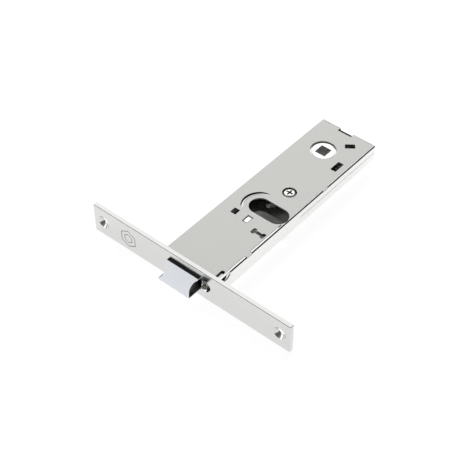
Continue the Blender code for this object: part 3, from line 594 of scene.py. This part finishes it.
# ---- pieces
class LOCK_OT_faceplate(bpy.types.Operator):
    """Build the polished faceplate with its sunk screw holes and a plain mark"""

    bl_idname = "lock.faceplate"
    bl_label = "Faceplate"

    def execute(self, context):
        sizes, finish = context.scene.lock_sizes, finishes()
        corner_radius = 0.4 * MM
        back = inward(sizes.plate_thickness)
        plate = block("faceplate_finished", FACE_LOW, (FACE_HIGH.x, back, FACE_HIGH.z))
        round_along(plate, "Y", corner_radius, 4)
        plane_off(plate, (0, FRONT + sizes.front_chamfer, FACE_HIGH.z), Vector((0, -1, 1)))
        join_or_cut(plate, "DIFFERENCE", self.holes(back))
        join_or_cut(plate, "UNION", self.lugs(back))
        dress(plate, finish["faceplate"], finish["faceplate_edge"])
        # Painted shade: the upper front chamfer is near black, as a dark line along the top edge.
        refinish(plate, finish["etch_and_painted_shade"], lambda c, n: c.z > MIDDLE_Z and min(-n.y, n.z) > 0.6)
        mark = [dress(ring, finish["etch_and_painted_shade"]) for ring in self.mark(sizes.mark_depth)]
        join_or_cut(plate, "DIFFERENCE", mark, "TRANSFER")
        soften(plate, sizes.edge_radius, 3)
        stand_for(plate, "faceplate")
        return {"FINISHED"}

    def holes(self, back):
        """The latch's slot, the two wood screws' holes and the cylinder screw's hole."""
        screw_place, screw_hole, screw_sink = 72 * MM, 2.6 * MM, 2 * MM
        fixing_hole, fixing_sink = 3.2 * MM, 1.3 * MM
        return [
            self.latch_slot(back),
            self.sunk_hole(-screw_place, screw_hole, screw_sink, back),
            self.sunk_hole(screw_place, screw_hole, screw_sink, back),
            self.sunk_hole(SCREW_X, fixing_hole, fixing_sink, back),
        ]

    def latch_slot(self, back):
        """The opening that the latch slides through."""
        gap, corner_radius = 0.3 * MM, 0.5 * MM
        low = (LATCH_LOW.x - gap, FRONT - OVERCUT, LATCH_LOW.z - gap)
        high = (LATCH_HIGH.x + gap, back + OVERCUT, LATCH_HIGH.z + gap / 2)
        return round_block("slot", low, high, corner_radius, "Y", 4)

    def sunk_hole(self, x, hole, sink, back):
        """A cutter for a round hole whose rim is countersunk at 45 degrees, all in one solid."""
        tool = rod("sunk_hole", (x, MIDDLE_Z), hole, FRONT + sink, back + OVERCUT, "Y")
        select_faces(tool, lambda c, n: n.y < -0.9)
        bpy.ops.mesh.extrude_region_move(TRANSFORM_OT_translate={"value": (0, -sink - OVERCUT, 0)})
        growth = (hole + sink + OVERCUT) / hole
        bpy.ops.transform.resize(value=(growth, 1, growth), center_override=(x, FRONT, MIDDLE_Z))
        end_edit()
        return tool

    def lugs(self, back):
        """The two lugs behind the plate, inside the case's walls, each with its rivet hole."""
        inner, outer, gap, overlap = 17.0 * MM, 20.4 * MM, 0.3 * MM, 0.5 * MM
        rivet_low, rivet_high = box_of("faceplate_rivet_right")
        across = (rivet_low.y + rivet_high.y) / 2, MIDDLE_Z
        lugs = []
        for side in (-1, 1):
            near, far = sorted((side * inner, side * outer))
            lug = block("lug", (near, back - overlap, LATCH_LOW.z + gap),
                        (far, FACE_HIGH.y, LATCH_HIGH.z - gap))
            hole = rod("pin", across, PIN_HOLE, near - OVERCUT, far + OVERCUT, "X", PIN_SIDES)
            lugs.append(join_or_cut(lug, "DIFFERENCE", [hole]))
        return lugs

    def mark(self, depth):
        """A plain engraved sign: a six-sided outline round a smaller one."""
        centre = (-50.2 * MM, 10.2 * MM)
        rings = []
        for outer, inner in ((6.9 * MM, 6.4 * MM), (3.7 * MM, 3.25 * MM)):
            ring = rod("mark", centre, outer, FRONT - OVERCUT, FRONT + depth, "Y", 6)
            hole = rod("inside", centre, inner, FRONT - 2 * OVERCUT, FRONT + OVERCUT, "Y", 6)
            rings.append(join_or_cut(ring, "DIFFERENCE", [hole]))
        return rings


class LOCK_OT_case(bpy.types.Operator):
    """Build the case: the folded tray and its punched cover"""

    bl_idname = "lock.case"
    bl_label = "Case"

    def execute(self, context):
        sizes, finish = context.scene.lock_sizes, finishes()
        tray = self.tray(sizes)
        dress(tray, finish["tray"], finish["tray_edge"])
        self.tone(tray, finish)
        soften(tray, sizes.sheet_edge)
        stand_for(tray, "case_body")
        cover = self.cover(finish)
        soften(cover, sizes.sheet_edge)
        stand_for(cover, "case_cover")
        return {"FINISHED"}

    def tray(self, sizes):
        """A folded sheet tray, open at the top and towards the faceplate."""
        tray = block("case_body_finished", BODY_LOW, BODY_HIGH)
        low_z, near_y, far_y = BODY_LOW.z, BODY_LOW.y, BODY_HIGH.y
        right, top = BODY_HIGH.x, BODY_HIGH.z

        def folded(a, b):
            along_floor = abs(a.z - low_z) < SAME and abs(b.z - low_z) < SAME
            return along_floor and not (abs(a.y - near_y) < SAME and abs(b.y - near_y) < SAME)

        def corner(a, b):
            return abs(a.y - far_y) < SAME and abs(b.y - far_y) < SAME and abs(a.x - b.x) < SAME

        def outer_rim(a, b):
            return all(abs(v.x - right) < SAME and abs(v.z - top) < SAME for v in (a, b))

        bevel_edges(tray, lambda a, b: folded(a, b) or corner(a, b), sizes.fold_radius, 5)
        select_faces(tray, lambda c, n: n.z > 0.9 or n.y < -0.9)
        bpy.ops.mesh.delete(type="FACE")
        end_edit()
        wall = tray.modifiers.new("wall", "SOLIDIFY")
        wall.thickness = sizes.sheet
        wall.offset = -1
        wall.use_even_offset = True
        apply_change(tray, wall)
        bevel_edges(tray, outer_rim, sizes.rim_radius, 4)
        join_or_cut(tray, "DIFFERENCE", self.tray_tools(sizes.sheet))
        return join_or_cut(tray, "UNION", [self.lip(sizes.sheet)])

    def lip(self, sheet):
        """A narrow ledge along the inside of the right wall, broken where the near tab lies."""
        inner, outer = BODY_HIGH.x - 1.6 * MM, BODY_HIGH.x - 0.8 * MM
        lip = block("lip", (inner, inward(4 * MM), BODY_HIGH.z - sheet), (outer, inward(63 * MM), BODY_HIGH.z))
        return join_or_cut(lip, "DIFFERENCE", tab_notches())

    def tone(self, tray, finish):
        """Paint shade on the tray: darker, duller inner faces and a near-black roll along its rim."""
        skin, rim = 0.9 * MM, 1.2 * MM  # a little less and a little more than the sheet
        wall_x, wall_y = BODY_HIGH.x - skin, BODY_HIGH.y - skin
        low_z, high_z = BODY_LOW.z + skin, BODY_HIGH.z - rim

        def inner(c, n):
            return abs(c.x) < wall_x and c.y < wall_y and low_z < c.z < high_z

        def rolled(c, n):
            return c.x > wall_x and n.x > 0.35 and n.z > 0.15 and abs(n.y) < 0.1

        # Painted shade on the inner faces.
        refinish(tray, finish["inside"], inner)
        # Painted shade: the rounded rim is near black, as a dark line along the wall's top.
        refinish(tray, finish["etch_and_painted_shade"], rolled)

    def tray_tools(self, sheet):
        """What is cut out of the tray."""
        spindle_radius, notch_drop, rim_drop = 8.6 * MM, 1.6 * MM, 1.1 * MM
        relief_end, step_end, step_depth = inward(12 * MM), inward(15 * MM), 0.45 * MM
        floor_low, top = BODY_LOW.z - OVERCUT, BODY_HIGH.z
        left, right = BODY_LOW.x - OVERCUT, BODY_HIGH.x + OVERCUT
        return [
            cylinder_hole(floor_low, top + OVERCUT),
            rod("spindle_hole", FOLLOWER_AXIS.xy, spindle_radius, floor_low, BODY_LOW.z + 2 * OVERCUT),
            block("end_notch", (NOTCH_LEFT, BODY_HIGH.y - 2 * OVERCUT, top - notch_drop),
                  (NOTCH_RIGHT, BODY_HIGH.y + OVERCUT, top + OVERCUT)),
            block("left_rim", (left, BODY_LOW.y - OVERCUT, top - rim_drop),
                  (BODY_LOW.x + OVERCUT + 0.1 * MM, BODY_HIGH.y - sheet, top + OVERCUT)),
            rod("rivet_hole", (inward(8 * MM), MIDDLE_Z), PIN_HOLE, left, right, "X", PIN_SIDES),
            self.corner_relief(top, relief_end, left, right),
            self.corner_relief(top, step_end, BODY_HIGH.x - step_depth, right),
            *tab_notches(),
            *self.seams(),
        ]

    def seams(self):
        """A fine line along each wall."""
        depth, low, high = 0.4 * MM, 11.4 * MM, 11.9 * MM
        seams = []
        for side in (-1, 1):
            face = side * BODY_HIGH.x
            near, far = sorted((face - side * depth, face + side * OVERCUT))
            seams.append(block("seam", (near, inward(84 * MM), low), (far, BODY_HIGH.y - 1.2 * MM, high)))
        return seams

    def corner_relief(self, top, end, left, right):
        """A step with a round end in the top of the walls behind the faceplate."""
        radius = 4.4 * MM
        relief = block("relief", (left, BODY_LOW.y - OVERCUT, top - radius), (right, end, top + radius))
        nearly = 0.98  # a whole radius would use up the step's end

        def lower_end(a, b):
            return abs(a.x - b.x) > OVERCUT and a.y > end - SAME and a.z < top

        return bevel_edges(relief, lower_end, nearly * radius, 10)

    def cover(self, finish):
        """The flat cover with its side tabs and all its holes."""
        left, right, wide = COVER_LOW.x + 0.1 * MM, COVER_HIGH.x - 1.9 * MM, COVER_HIGH.x - 1.1 * MM
        wide_from, tab_reach = inward(66 * MM), 2.4 * MM
        low_z, high_z = COVER_LOW.z, COVER_HIGH.z
        cover = block("case_cover_finished", (left, COVER_LOW.y, low_z), (right, COVER_HIGH.y, high_z))
        tabs = [block("wide_part", (0, wide_from, low_z), (wide, COVER_HIGH.y, high_z))]
        tabs += [
            block("tab", (0, inward(place - tab_reach), low_z),
                  (COVER_HIGH.x, inward(place + tab_reach), high_z))
            for place in TAB_PLACES
        ]
        join_or_cut(cover, "UNION", tabs)
        join_or_cut(cover, "DIFFERENCE", self.cover_tools(low_z - OVERCUT, high_z + OVERCUT))
        dress(cover, finish["case"], finish["case_edge"])
        # Painted light and shade in the groove: its inner side in the paler tray finish as a painted highlight,
        # its outer wall near black as painted shade.
        groove = dress(self.crescent(), finish["tray"])
        corners = [corner.co for corner in groove.data.vertices]
        centre = sum(corners, Vector()) / len(corners)
        outer = 0.1  # above nothing, so that the groove's very bottom keeps the painted highlight
        refinish(groove, finish["etch_and_painted_shade"], lambda c, n: n.xy.dot((c - centre).xy.normalized()) > outer)
        return join_or_cut(cover, "DIFFERENCE", [groove], "TRANSFER")

    def cover_tools(self, low, high):
        """What is punched out of the cover, between two heights."""
        spindle_radius, recess_radius = 9.0 * MM, 4.85 * MM
        tools = [
            rod("spindle_hole", FOLLOWER_AXIS.xy, spindle_radius, low, high, sides=128),
            cylinder_hole(low, high),
            rod("screw_recess", LEVER_AXIS.xy, recess_radius, low, high),
            block("end_notch", (NOTCH_LEFT, inward(163 * MM), low),
                  (NOTCH_RIGHT, COVER_HIGH.y + OVERCUT, high)),
            oval_tool("corner_slot", (17.2 * MM, COVER_LOW.y - 4 * MM, low),
                      (20 * MM, inward(12.8 * MM), high)),
        ]
        punched = (  # left, near, right, far and corner radius, in millimetres
            (-12.1, 54.6, -7.8, 59.6, 0.5),  # square hole
            (-1.3, 53.1, 3.2, 59.8, 0.5),  # the bracket's tab
            (10.0, 49.8, 18.6, 52.2, 0.3),  # waist of the dog-bone slot
            (9.2, 48.5, 12.0, 53.4, 1.1),  # its left end
            (16.6, 48.7, 19.2, 53.3, 0.9),  # its right end
            (12.6, 128.0, 17.0, 137.4, 0.6),  # rectangular hole by the follower
        )
        for left, near, right, far, radius in punched:
            tools.append(round_block("hole", (left * MM, inward(near * MM), low),
                                     (right * MM, inward(far * MM), high), radius * MM, "Z", 5))
        tools.append(self.turned_hole(low, high))
        return tools

    def turned_hole(self, low, high):
        """The rectangular hole that stands at an angle near the follower."""
        x, y, reach_x, reach_y = 9.3 * MM, inward(154.8 * MM), 3.5 * MM, 2.1 * MM
        tool = round_block(
            "turned_hole", (x - reach_x, y - reach_y, low), (x + reach_x, y + reach_y, high), 0.5 * MM, "Z", 5,
        )
        start_edit(tool, action="SELECT")
        bpy.ops.transform.rotate(value=-math.radians(39), orient_axis="Z", center_override=(x, y, 0))
        end_edit()
        return tool

    def crescent(self):
        """A tilted ring that dips into the cover: it cuts a round groove that fades out at both ends."""
        radius, thickness, depth = 12.1 * MM, 1.5 * MM, 0.8 * MM
        facing, reach = math.radians(161), math.radians(64)
        drop = depth / (1 - math.cos(reach))
        tilt = math.asin(drop / radius)
        centre_z = COVER_HIGH.z + thickness + drop * math.cos(reach)
        clear_selection()
        bpy.ops.mesh.primitive_torus_add(
            major_radius=radius, minor_radius=thickness, major_segments=160, minor_segments=40,
            location=(-0.4 * MM, inward(71 * MM), centre_z), rotation=(0, tilt, facing),
        )
        return settle("crescent")


class LOCK_OT_latch(bpy.types.Operator):
    """Build the latch head, and finish its drawbar and rivets"""

    bl_idname = "lock.latch"
    bl_label = "Latch"

    def execute(self, context):
        sizes, finish = context.scene.lock_sizes, finishes()
        head = block("latch_head_finished", LATCH_LOW, LATCH_HIGH)
        flat, nose = 1.8 * MM, 0.5 * MM
        flat_end = Vector((0, inward(-flat), LATCH_HIGH.z))
        slope = flat_end - Vector((0, LATCH_LOW.y, LATCH_LOW.z + nose))
        plane_off(head, flat_end, Vector((0, -slope.z, slope.y)))
        dress(head, finish["latch"], finish["latch_edge"])
        # Painted shade: the latch's top face is near black, for the dark band along its top.
        refinish(head, finish["etch_and_painted_shade"], lambda c, n: n.z > 0.9)
        # Painted shade: the grooves, slot, pocket and rivet holes are near black.
        join_or_cut(head, "DIFFERENCE", [dress(tool, finish["etch_and_painted_shade"]) for tool in self.tools()], "TRANSFER")
        soften(head, sizes.edge_radius, 3)
        stand_for(head, "latch_head")
        for node in ("drawbar", "latch_rivet_1", "latch_rivet_2"):
            finish_copy(node, finish["steel"], finish["steel_edge"], sizes.sheet_edge)
        return {"FINISHED"}

    def tools(self):
        """The grooves along both ends, the drawbar's slot, the spring's pocket and the rivet holes."""
        radius, depth = 5.2 * MM, 2.4 * MM
        slot_half, pocket_radius, rivet_radius = 1.55 * MM, 3.9 * MM, 1.3 * MM
        front, back = LATCH_LOW.y - OVERCUT, LATCH_HIGH.y + OVERCUT
        tools = [
            rod("groove", (LATCH_LOW.x - radius + depth, MIDDLE_Z), radius, front, back, "Y", 128),
            rod("groove", (LATCH_HIGH.x + radius - depth, MIDDLE_Z), radius, front, back, "Y", 128),
            block("slot", (LATCH_LOW.x + 2.7 * MM, inward(11 * MM), MIDDLE_Z - slot_half),
                  (-3.9 * MM, back, MIDDLE_Z + slot_half)),
            rod("pocket", (1 * MM, MIDDLE_Z), pocket_radius, inward(10 * MM), back, "Y"),
        ]
        for node in ("latch_rivet_1", "latch_rivet_2"):
            low, high = box_of(node)
            across = (low + high).xy / 2
            tools.append(rod(
                "rivet", across, rivet_radius, LATCH_LOW.z - OVERCUT, LATCH_HIGH.z + OVERCUT, sides=PIN_SIDES,
            ))
        return tools


def finish_copy(node, finish, edge, width, steps=2):
    """Merge a copy of a CAD node, round its edges and let it stand for the node."""
    piece = copy_of(node, f"{node}_finished")
    dress(piece, finish, edge)
    soften(piece, width, steps)
    stand_for(piece, node)


class LOCK_OT_follower(bpy.types.Operator):
    """Build the follower with its square hole and two arms"""

    bl_idname = "lock.follower"
    bl_label = "Follower"

    def execute(self, context):
        sizes, finish = context.scene.lock_sizes, finishes()
        hub_low, hub_high = box_of("follower_hub")
        body_low, body_high = LATCH_LOW.z, LATCH_HIGH.z
        radius, half, corner_radius, sunk = 10.4 * MM, 4.05 * MM, 0.3 * MM, 0.4 * MM
        hub = rod("follower_hub_finished", FOLLOWER_AXIS.xy, radius, body_low, body_high, sides=128)
        self.journal(hub, lambda c, n: n.z > 0.9, hub_high.z - sunk - body_high)
        self.journal(hub, lambda c, n: n.z < -0.9, hub_low.z - body_low)
        join_or_cut(hub, "UNION", self.arms())
        corner_low = (FOLLOWER_AXIS.x - half, FOLLOWER_AXIS.y - half, hub_low.z - OVERCUT)
        corner_high = (FOLLOWER_AXIS.x + half, FOLLOWER_AXIS.y + half, hub_high.z + OVERCUT)
        join_or_cut(hub, "DIFFERENCE", [round_block("square", corner_low, corner_high, corner_radius, "Z", 3)])
        dress(hub, finish["hub"], finish["hub_edge"])
        soften(hub, sizes.edge_radius, 3)
        stand_for(hub, "follower_hub")
        return {"FINISHED"}

    def journal(self, hub, wanted, height):
        """Draw the journal out of one end face."""
        shoulder = 2.4 * MM
        select_faces(hub, wanted)
        bpy.ops.mesh.inset(thickness=shoulder)
        bpy.ops.mesh.extrude_region_move(TRANSFORM_OT_translate={"value": (0, 0, height)})
        end_edit()

    def arms(self):
        """The arm to the drawbar and the arm to the spring, each with a round tip."""
        half, width = 1.6 * MM, 2.3 * MM
        low, high = MIDDLE_Z - half, MIDDLE_Z + half
        arms = []
        for angle, length in ((202.5, 13.72 * MM), (22.5, 15 * MM)):
            turn = math.radians(angle)
            tip = FOLLOWER_AXIS + Vector((math.cos(turn), math.sin(turn), 0)) * length
            arms.append(rod("tip", tip.xy, half, low, high, sides=48))
            clear_selection()
            middle = (FOLLOWER_AXIS + tip) / 2
            bpy.ops.mesh.primitive_cube_add(
                size=1, location=(middle.x, middle.y, MIDDLE_Z), rotation=(0, 0, turn),
                scale=(length, width, high - low),
            )
            arms.append(settle("arm"))
        return arms


class LOCK_OT_screws(bpy.types.Operator):
    """Build the cover's screw and the long cylinder screw"""

    bl_idname = "lock.screws"
    bl_label = "Screws"

    def execute(self, context):
        sizes, finish = context.scene.lock_sizes, finishes()
        self.cover_screw(finish)
        self.cylinder_screw(sizes, finish)
        return {"FINISHED"}

    def cover_screw(self, finish):
        """A low round head with a cross recess, on a thin shank."""
        low, high = box_of("cover_screw")
        head_radius, shank_radius, rounding = 4.0 * MM, 1.2 * MM, 0.75 * MM
        bar, half, deep = 2.5 * MM, 0.6 * MM, 1.2 * MM
        seat, across = COVER_LOW.z, LEVER_AXIS.xy
        screw = rod("cover_screw_finished", across, head_radius, seat, high.z - rounding)
        select_faces(screw, lambda c, n: n.z > 0.9)
        for inset, rise in ((0.3, 0.28), (0.45, 0.22), (0.6, 0.15), (0.8, 0.08)):
            bpy.ops.mesh.inset(thickness=inset * MM)
            bpy.ops.transform.translate(value=(0, 0, rise * MM))
        end_edit()
        join_or_cut(screw, "UNION", [rod("shank", across, shank_radius, low.z, seat + 0.2 * MM, sides=48)])
        dress(screw, finish["hub"], finish["hub_edge"])
        recess = cross_tools(across, high.z - deep, high.z + OVERCUT, "Z", bar, half)
        # Painted shade: the cross recess is near black.
        join_or_cut(screw, "DIFFERENCE", [dress(bar, finish["etch_and_painted_shade"]) for bar in recess], "TRANSFER")
        soften(screw, 0.12 * MM)
        stand_for(screw, "cover_screw")

    def cylinder_screw(self, sizes, finish):
        """A flat head with a cross recess and a long plain shank."""
        head_radius, head_thickness, shank_radius = 3.0 * MM, 1.4 * MM, 2.4 * MM
        bar, half, deep = 2.2 * MM, 0.5 * MM, 0.9 * MM
        across, front = (SCREW_X, MIDDLE_Z), inward(2.4 * MM)
        head_back = front + head_thickness
        screw = rod("cylinder_screw_finished", across, head_radius, front, head_back, "Y")
        shank = rod("shank", across, shank_radius, head_back - 0.3 * MM, SCREW_HIGH.y, "Y", 48)
        join_or_cut(screw, "UNION", [shank])
        recess = cross_tools(across, front - OVERCUT, front + deep, "Y", bar, half)
        join_or_cut(screw, "DIFFERENCE", recess)
        # Painted shade: the sunk head is near black, for the dark inside of its hole.
        dress(screw, finish["dark"], finish["steel_edge"])
        soften(screw, sizes.edge_radius)
        stand_for(screw, "cylinder_screw")


class LOCK_OT_springs(bpy.types.Operator):
    """Wind the latch spring and the follower spring"""

    bl_idname = "lock.springs"
    bl_label = "Springs"

    def execute(self, context):
        finish = finishes()
        for node, turns in (("latch_spring", 13), ("follower_spring", 9.5)):
            self.wind(node, turns, finish["spring"])
        return {"FINISHED"}

    def wind(self, node, turns, finish):
        """Turn a wire's section about the spring's axis."""
        low, high = box_of(node)
        wire = 0.4 * MM
        axis_x = (low.x + high.x) / 2
        coil_radius = (high.x - low.x) / 2 - wire
        clear_selection()
        bpy.ops.mesh.primitive_circle_add(vertices=12, radius=wire, location=(axis_x, low.y + wire, MIDDLE_Z))
        spring = bpy.context.object
        spring.name = f"{node}_finished"
        start_edit(spring, action="SELECT")
        bpy.ops.transform.translate(value=(coil_radius, 0, 0))
        end_edit()
        winding = spring.modifiers.new("winding", "SCREW")
        winding.axis = "Y"
        winding.angle = math.tau * turns
        winding.screw_offset = high.y - low.y - 2 * wire
        winding.steps = int(28 * turns)
        winding.render_steps = winding.steps
        winding.use_merge_vertices = False
        apply_change(spring, winding)
        bpy.ops.object.transform_apply(location=True, rotation=True, scale=True)
        start_edit(spring, "EDGE")
        bpy.ops.mesh.select_non_manifold(extend=False)
        bpy.ops.mesh.edge_face_add()
        bpy.ops.mesh.select_all(action="SELECT")
        bpy.ops.mesh.normals_make_consistent(inside=False)
        end_edit()
        dress(spring, finish)
        shade(spring, 50)
        stand_for(spring, node)


class LOCK_OT_inner_parts(bpy.types.Operator):
    """Finish the plain pieces that stand inside the case"""

    bl_idname = "lock.inner_parts"
    bl_label = "Inner parts"

    def execute(self, context):
        sizes, finish = context.scene.lock_sizes, finishes()
        round_edge = 0.25 * MM
        for node, name, edge in (
            ("spring_bracket", "hub", "hub_edge"),
            ("follower_spring_seat", "casting", "casting_edge"),
        ):
            finish_copy(node, finish[name], finish[edge], round_edge, 3)
        finish_copy("key_lever", finish["hub"], finish["hub_edge"], sizes.sheet_edge)
        # Painted shade: the screw guide inside the case is near black.
        finish_copy("screw_guide", finish["dark"], finish["dark"], round_edge, 3)
        for node in (
            "key_lever_post", "spring_guide_rod", "faceplate_rivet_left",
            "faceplate_rivet_right", "spacer_1", "spacer_2", "spacer_3", "spacer_4",
        ):
            finish_copy(node, finish["steel"], finish["steel_edge"], sizes.sheet_edge)
        return {"FINISHED"}


class LOCK_OT_stage(bpy.types.Operator):
    """Set up the pale floor, the soft lights and the camera"""

    bl_idname = "lock.stage"
    bl_label = "Stage"

    def execute(self, context):
        self.floor()
        self.world(context.scene)
        self.softbox("back_light", (-0.62, 0.70, 0.93), 1.5, 1.3, 6.7)
        self.softbox("front_light", (-0.83, -1.42, 0.50), 1.7, 0.7, 6.1)
        self.softbox("left_light", (-1.5, 0.55, 0.22), 1.2, 0.4, 1.3)
        self.camera(context.scene)
        context.scene.view_settings.view_transform = "Standard"
        return {"FINISHED"}

    def floor(self):
        """A wide pale floor, white where it is seen, with a painted shadow under the case where its white lift is
        taken away.
        """
        clear_selection()
        bpy.ops.mesh.primitive_plane_add(size=12, location=(0, 0, CAD_BOX[0][2]))
        floor = settle("floor")
        made = bpy.data.materials.new("pale_floor")
        made.use_nodes = True
        tree = made.node_tree
        shader = tree.nodes["Principled BSDF"]
        shader.inputs["Roughness"].default_value = 0.9
        shader.inputs["Emission Color"].default_value = (1, 1, 1, 1)
        place = add_node(tree, "ShaderNodeTexCoord").outputs["Object"]
        # Painted shadow: the floor's lift fades out under the case.
        clear = self.outside_painted_shadow(tree, place)
        mottle = remap(tree, noise(tree, place, 90.0, 4.0), wanted=(0.50, 0.54))
        tree.links.new(mottle, shader.inputs["Base Color"])
        path = add_node(tree, "ShaderNodeLightPath").outputs
        seen = maths(tree, "MAXIMUM", path["Is Camera Ray"], path["Is Glossy Ray"])
        seen = maths(tree, "MAXIMUM", seen, path["Is Transmission Ray"])
        lift = maths(tree, "MULTIPLY", seen, clear)
        tree.links.new(maths(tree, "MULTIPLY", lift, 0.85), shader.inputs["Emission Strength"])
        floor.data.materials.append(made)

    def outside_painted_shadow(self, tree, place):
        """One everywhere but under the case, where it falls to nothing: the mask of a painted shadow."""
        dark_edge, clear_edge, darkest = 8 * MM, 4 * MM, 0.985
        apart = add_node(tree, "ShaderNodeSeparateXYZ", {"Vector": place})
        sides = []
        for axis, low, high in (("X", BODY_LOW.x, BODY_HIGH.x), ("Y", BODY_LOW.y, BODY_HIGH.y)):
            middle, half = (low + high) / 2, (high - low) / 2
            off = maths(tree, "ABSOLUTE", maths(tree, "SUBTRACT", apart.outputs[axis], middle))
            sides.append(remap(tree, off, (half - dark_edge, half - clear_edge), (darkest, 0.0)))
        return maths(tree, "SUBTRACT", 1.0, maths(tree, "MULTIPLY", *sides))

    def world(self, scene):
        """White where it is seen, a dim grey where it lights."""
        world = bpy.data.worlds.new("soft_sky")
        world.use_nodes = True
        tree = world.node_tree
        sky = tree.nodes["Background"]
        sky.inputs["Color"].default_value = (1, 1, 1, 1)
        path = add_node(tree, "ShaderNodeLightPath")
        strength = remap(tree, path.outputs["Is Camera Ray"], wanted=(0.14, 1.0))
        tree.links.new(strength, sky.inputs["Strength"])
        scene.world = world

    def softbox(self, name, place, width, height, power):
        """A large soft lamp that faces the lock."""
        clear_selection()
        aim = -Vector(place)
        bpy.ops.object.light_add(type="AREA", location=place, rotation=aim.to_track_quat("-Z", "Y").to_euler())
        lamp = bpy.context.object
        lamp.name = name
        lamp.data.shape = "RECTANGLE"
        lamp.data.size = width
        lamp.data.size_y = height
        lamp.data.energy = power

    def camera(self, scene):
        """A long lens that looks down on the lock across its front left corner."""
        clear_selection()
        turn, tilt, distance = math.radians(40.07), math.radians(45.39), 0.77424
        back = Vector((math.sin(turn) * math.cos(tilt), -math.cos(turn) * math.cos(tilt), math.sin(tilt)))
        aim = Vector((-0.00717, -0.02459, 0))
        bpy.ops.object.camera_add(location=aim + back * distance, rotation=(math.pi / 2 - tilt, 0, turn))
        camera = bpy.context.object
        camera.data.lens = 91.72
        camera.data.sensor_width = 36
        camera.data.clip_start = 0.01
        scene.camera = camera


# ---- add-on
STEPS = (
    LOCK_OT_faceplate,
    LOCK_OT_case,
    LOCK_OT_latch,
    LOCK_OT_follower,
    LOCK_OT_screws,
    LOCK_OT_springs,
    LOCK_OT_inner_parts,
    LOCK_OT_stage,
)


class LOCK_PT_panel(bpy.types.Panel):
    """The lock's steps and settings in the sidebar"""

    bl_idname = "LOCK_PT_panel"
    bl_label = "Mortise Lock"
    bl_space_type = "VIEW_3D"
    bl_region_type = "UI"
    bl_category = "Lock"

    def draw(self, context):
        for settings in (context.scene.lock_sizes, context.scene.lock_colours):
            for label in settings.__annotations__:
                self.layout.prop(settings, label)
        for step in STEPS:
            self.layout.operator(step.bl_idname)


CLASSES = (LockSizes, LockColours, *STEPS, LOCK_PT_panel)


def register():
    for cls in CLASSES:
        bpy.utils.register_class(cls)
    bpy.types.Scene.lock_sizes = bpy.props.PointerProperty(type=LockSizes)
    bpy.types.Scene.lock_colours = bpy.props.PointerProperty(type=LockColours)


def unregister():
    del bpy.types.Scene.lock_colours
    del bpy.types.Scene.lock_sizes
    for cls in reversed(CLASSES):
        bpy.utils.unregister_class(cls)


def main():
    register()
    bpy.ops.lock.faceplate()
    bpy.ops.lock.case()
    bpy.ops.lock.latch()
    bpy.ops.lock.follower()
    bpy.ops.lock.screws()
    bpy.ops.lock.springs()
    bpy.ops.lock.inner_parts()
    bpy.ops.lock.stage()


if __name__ == "__main__":
    main()
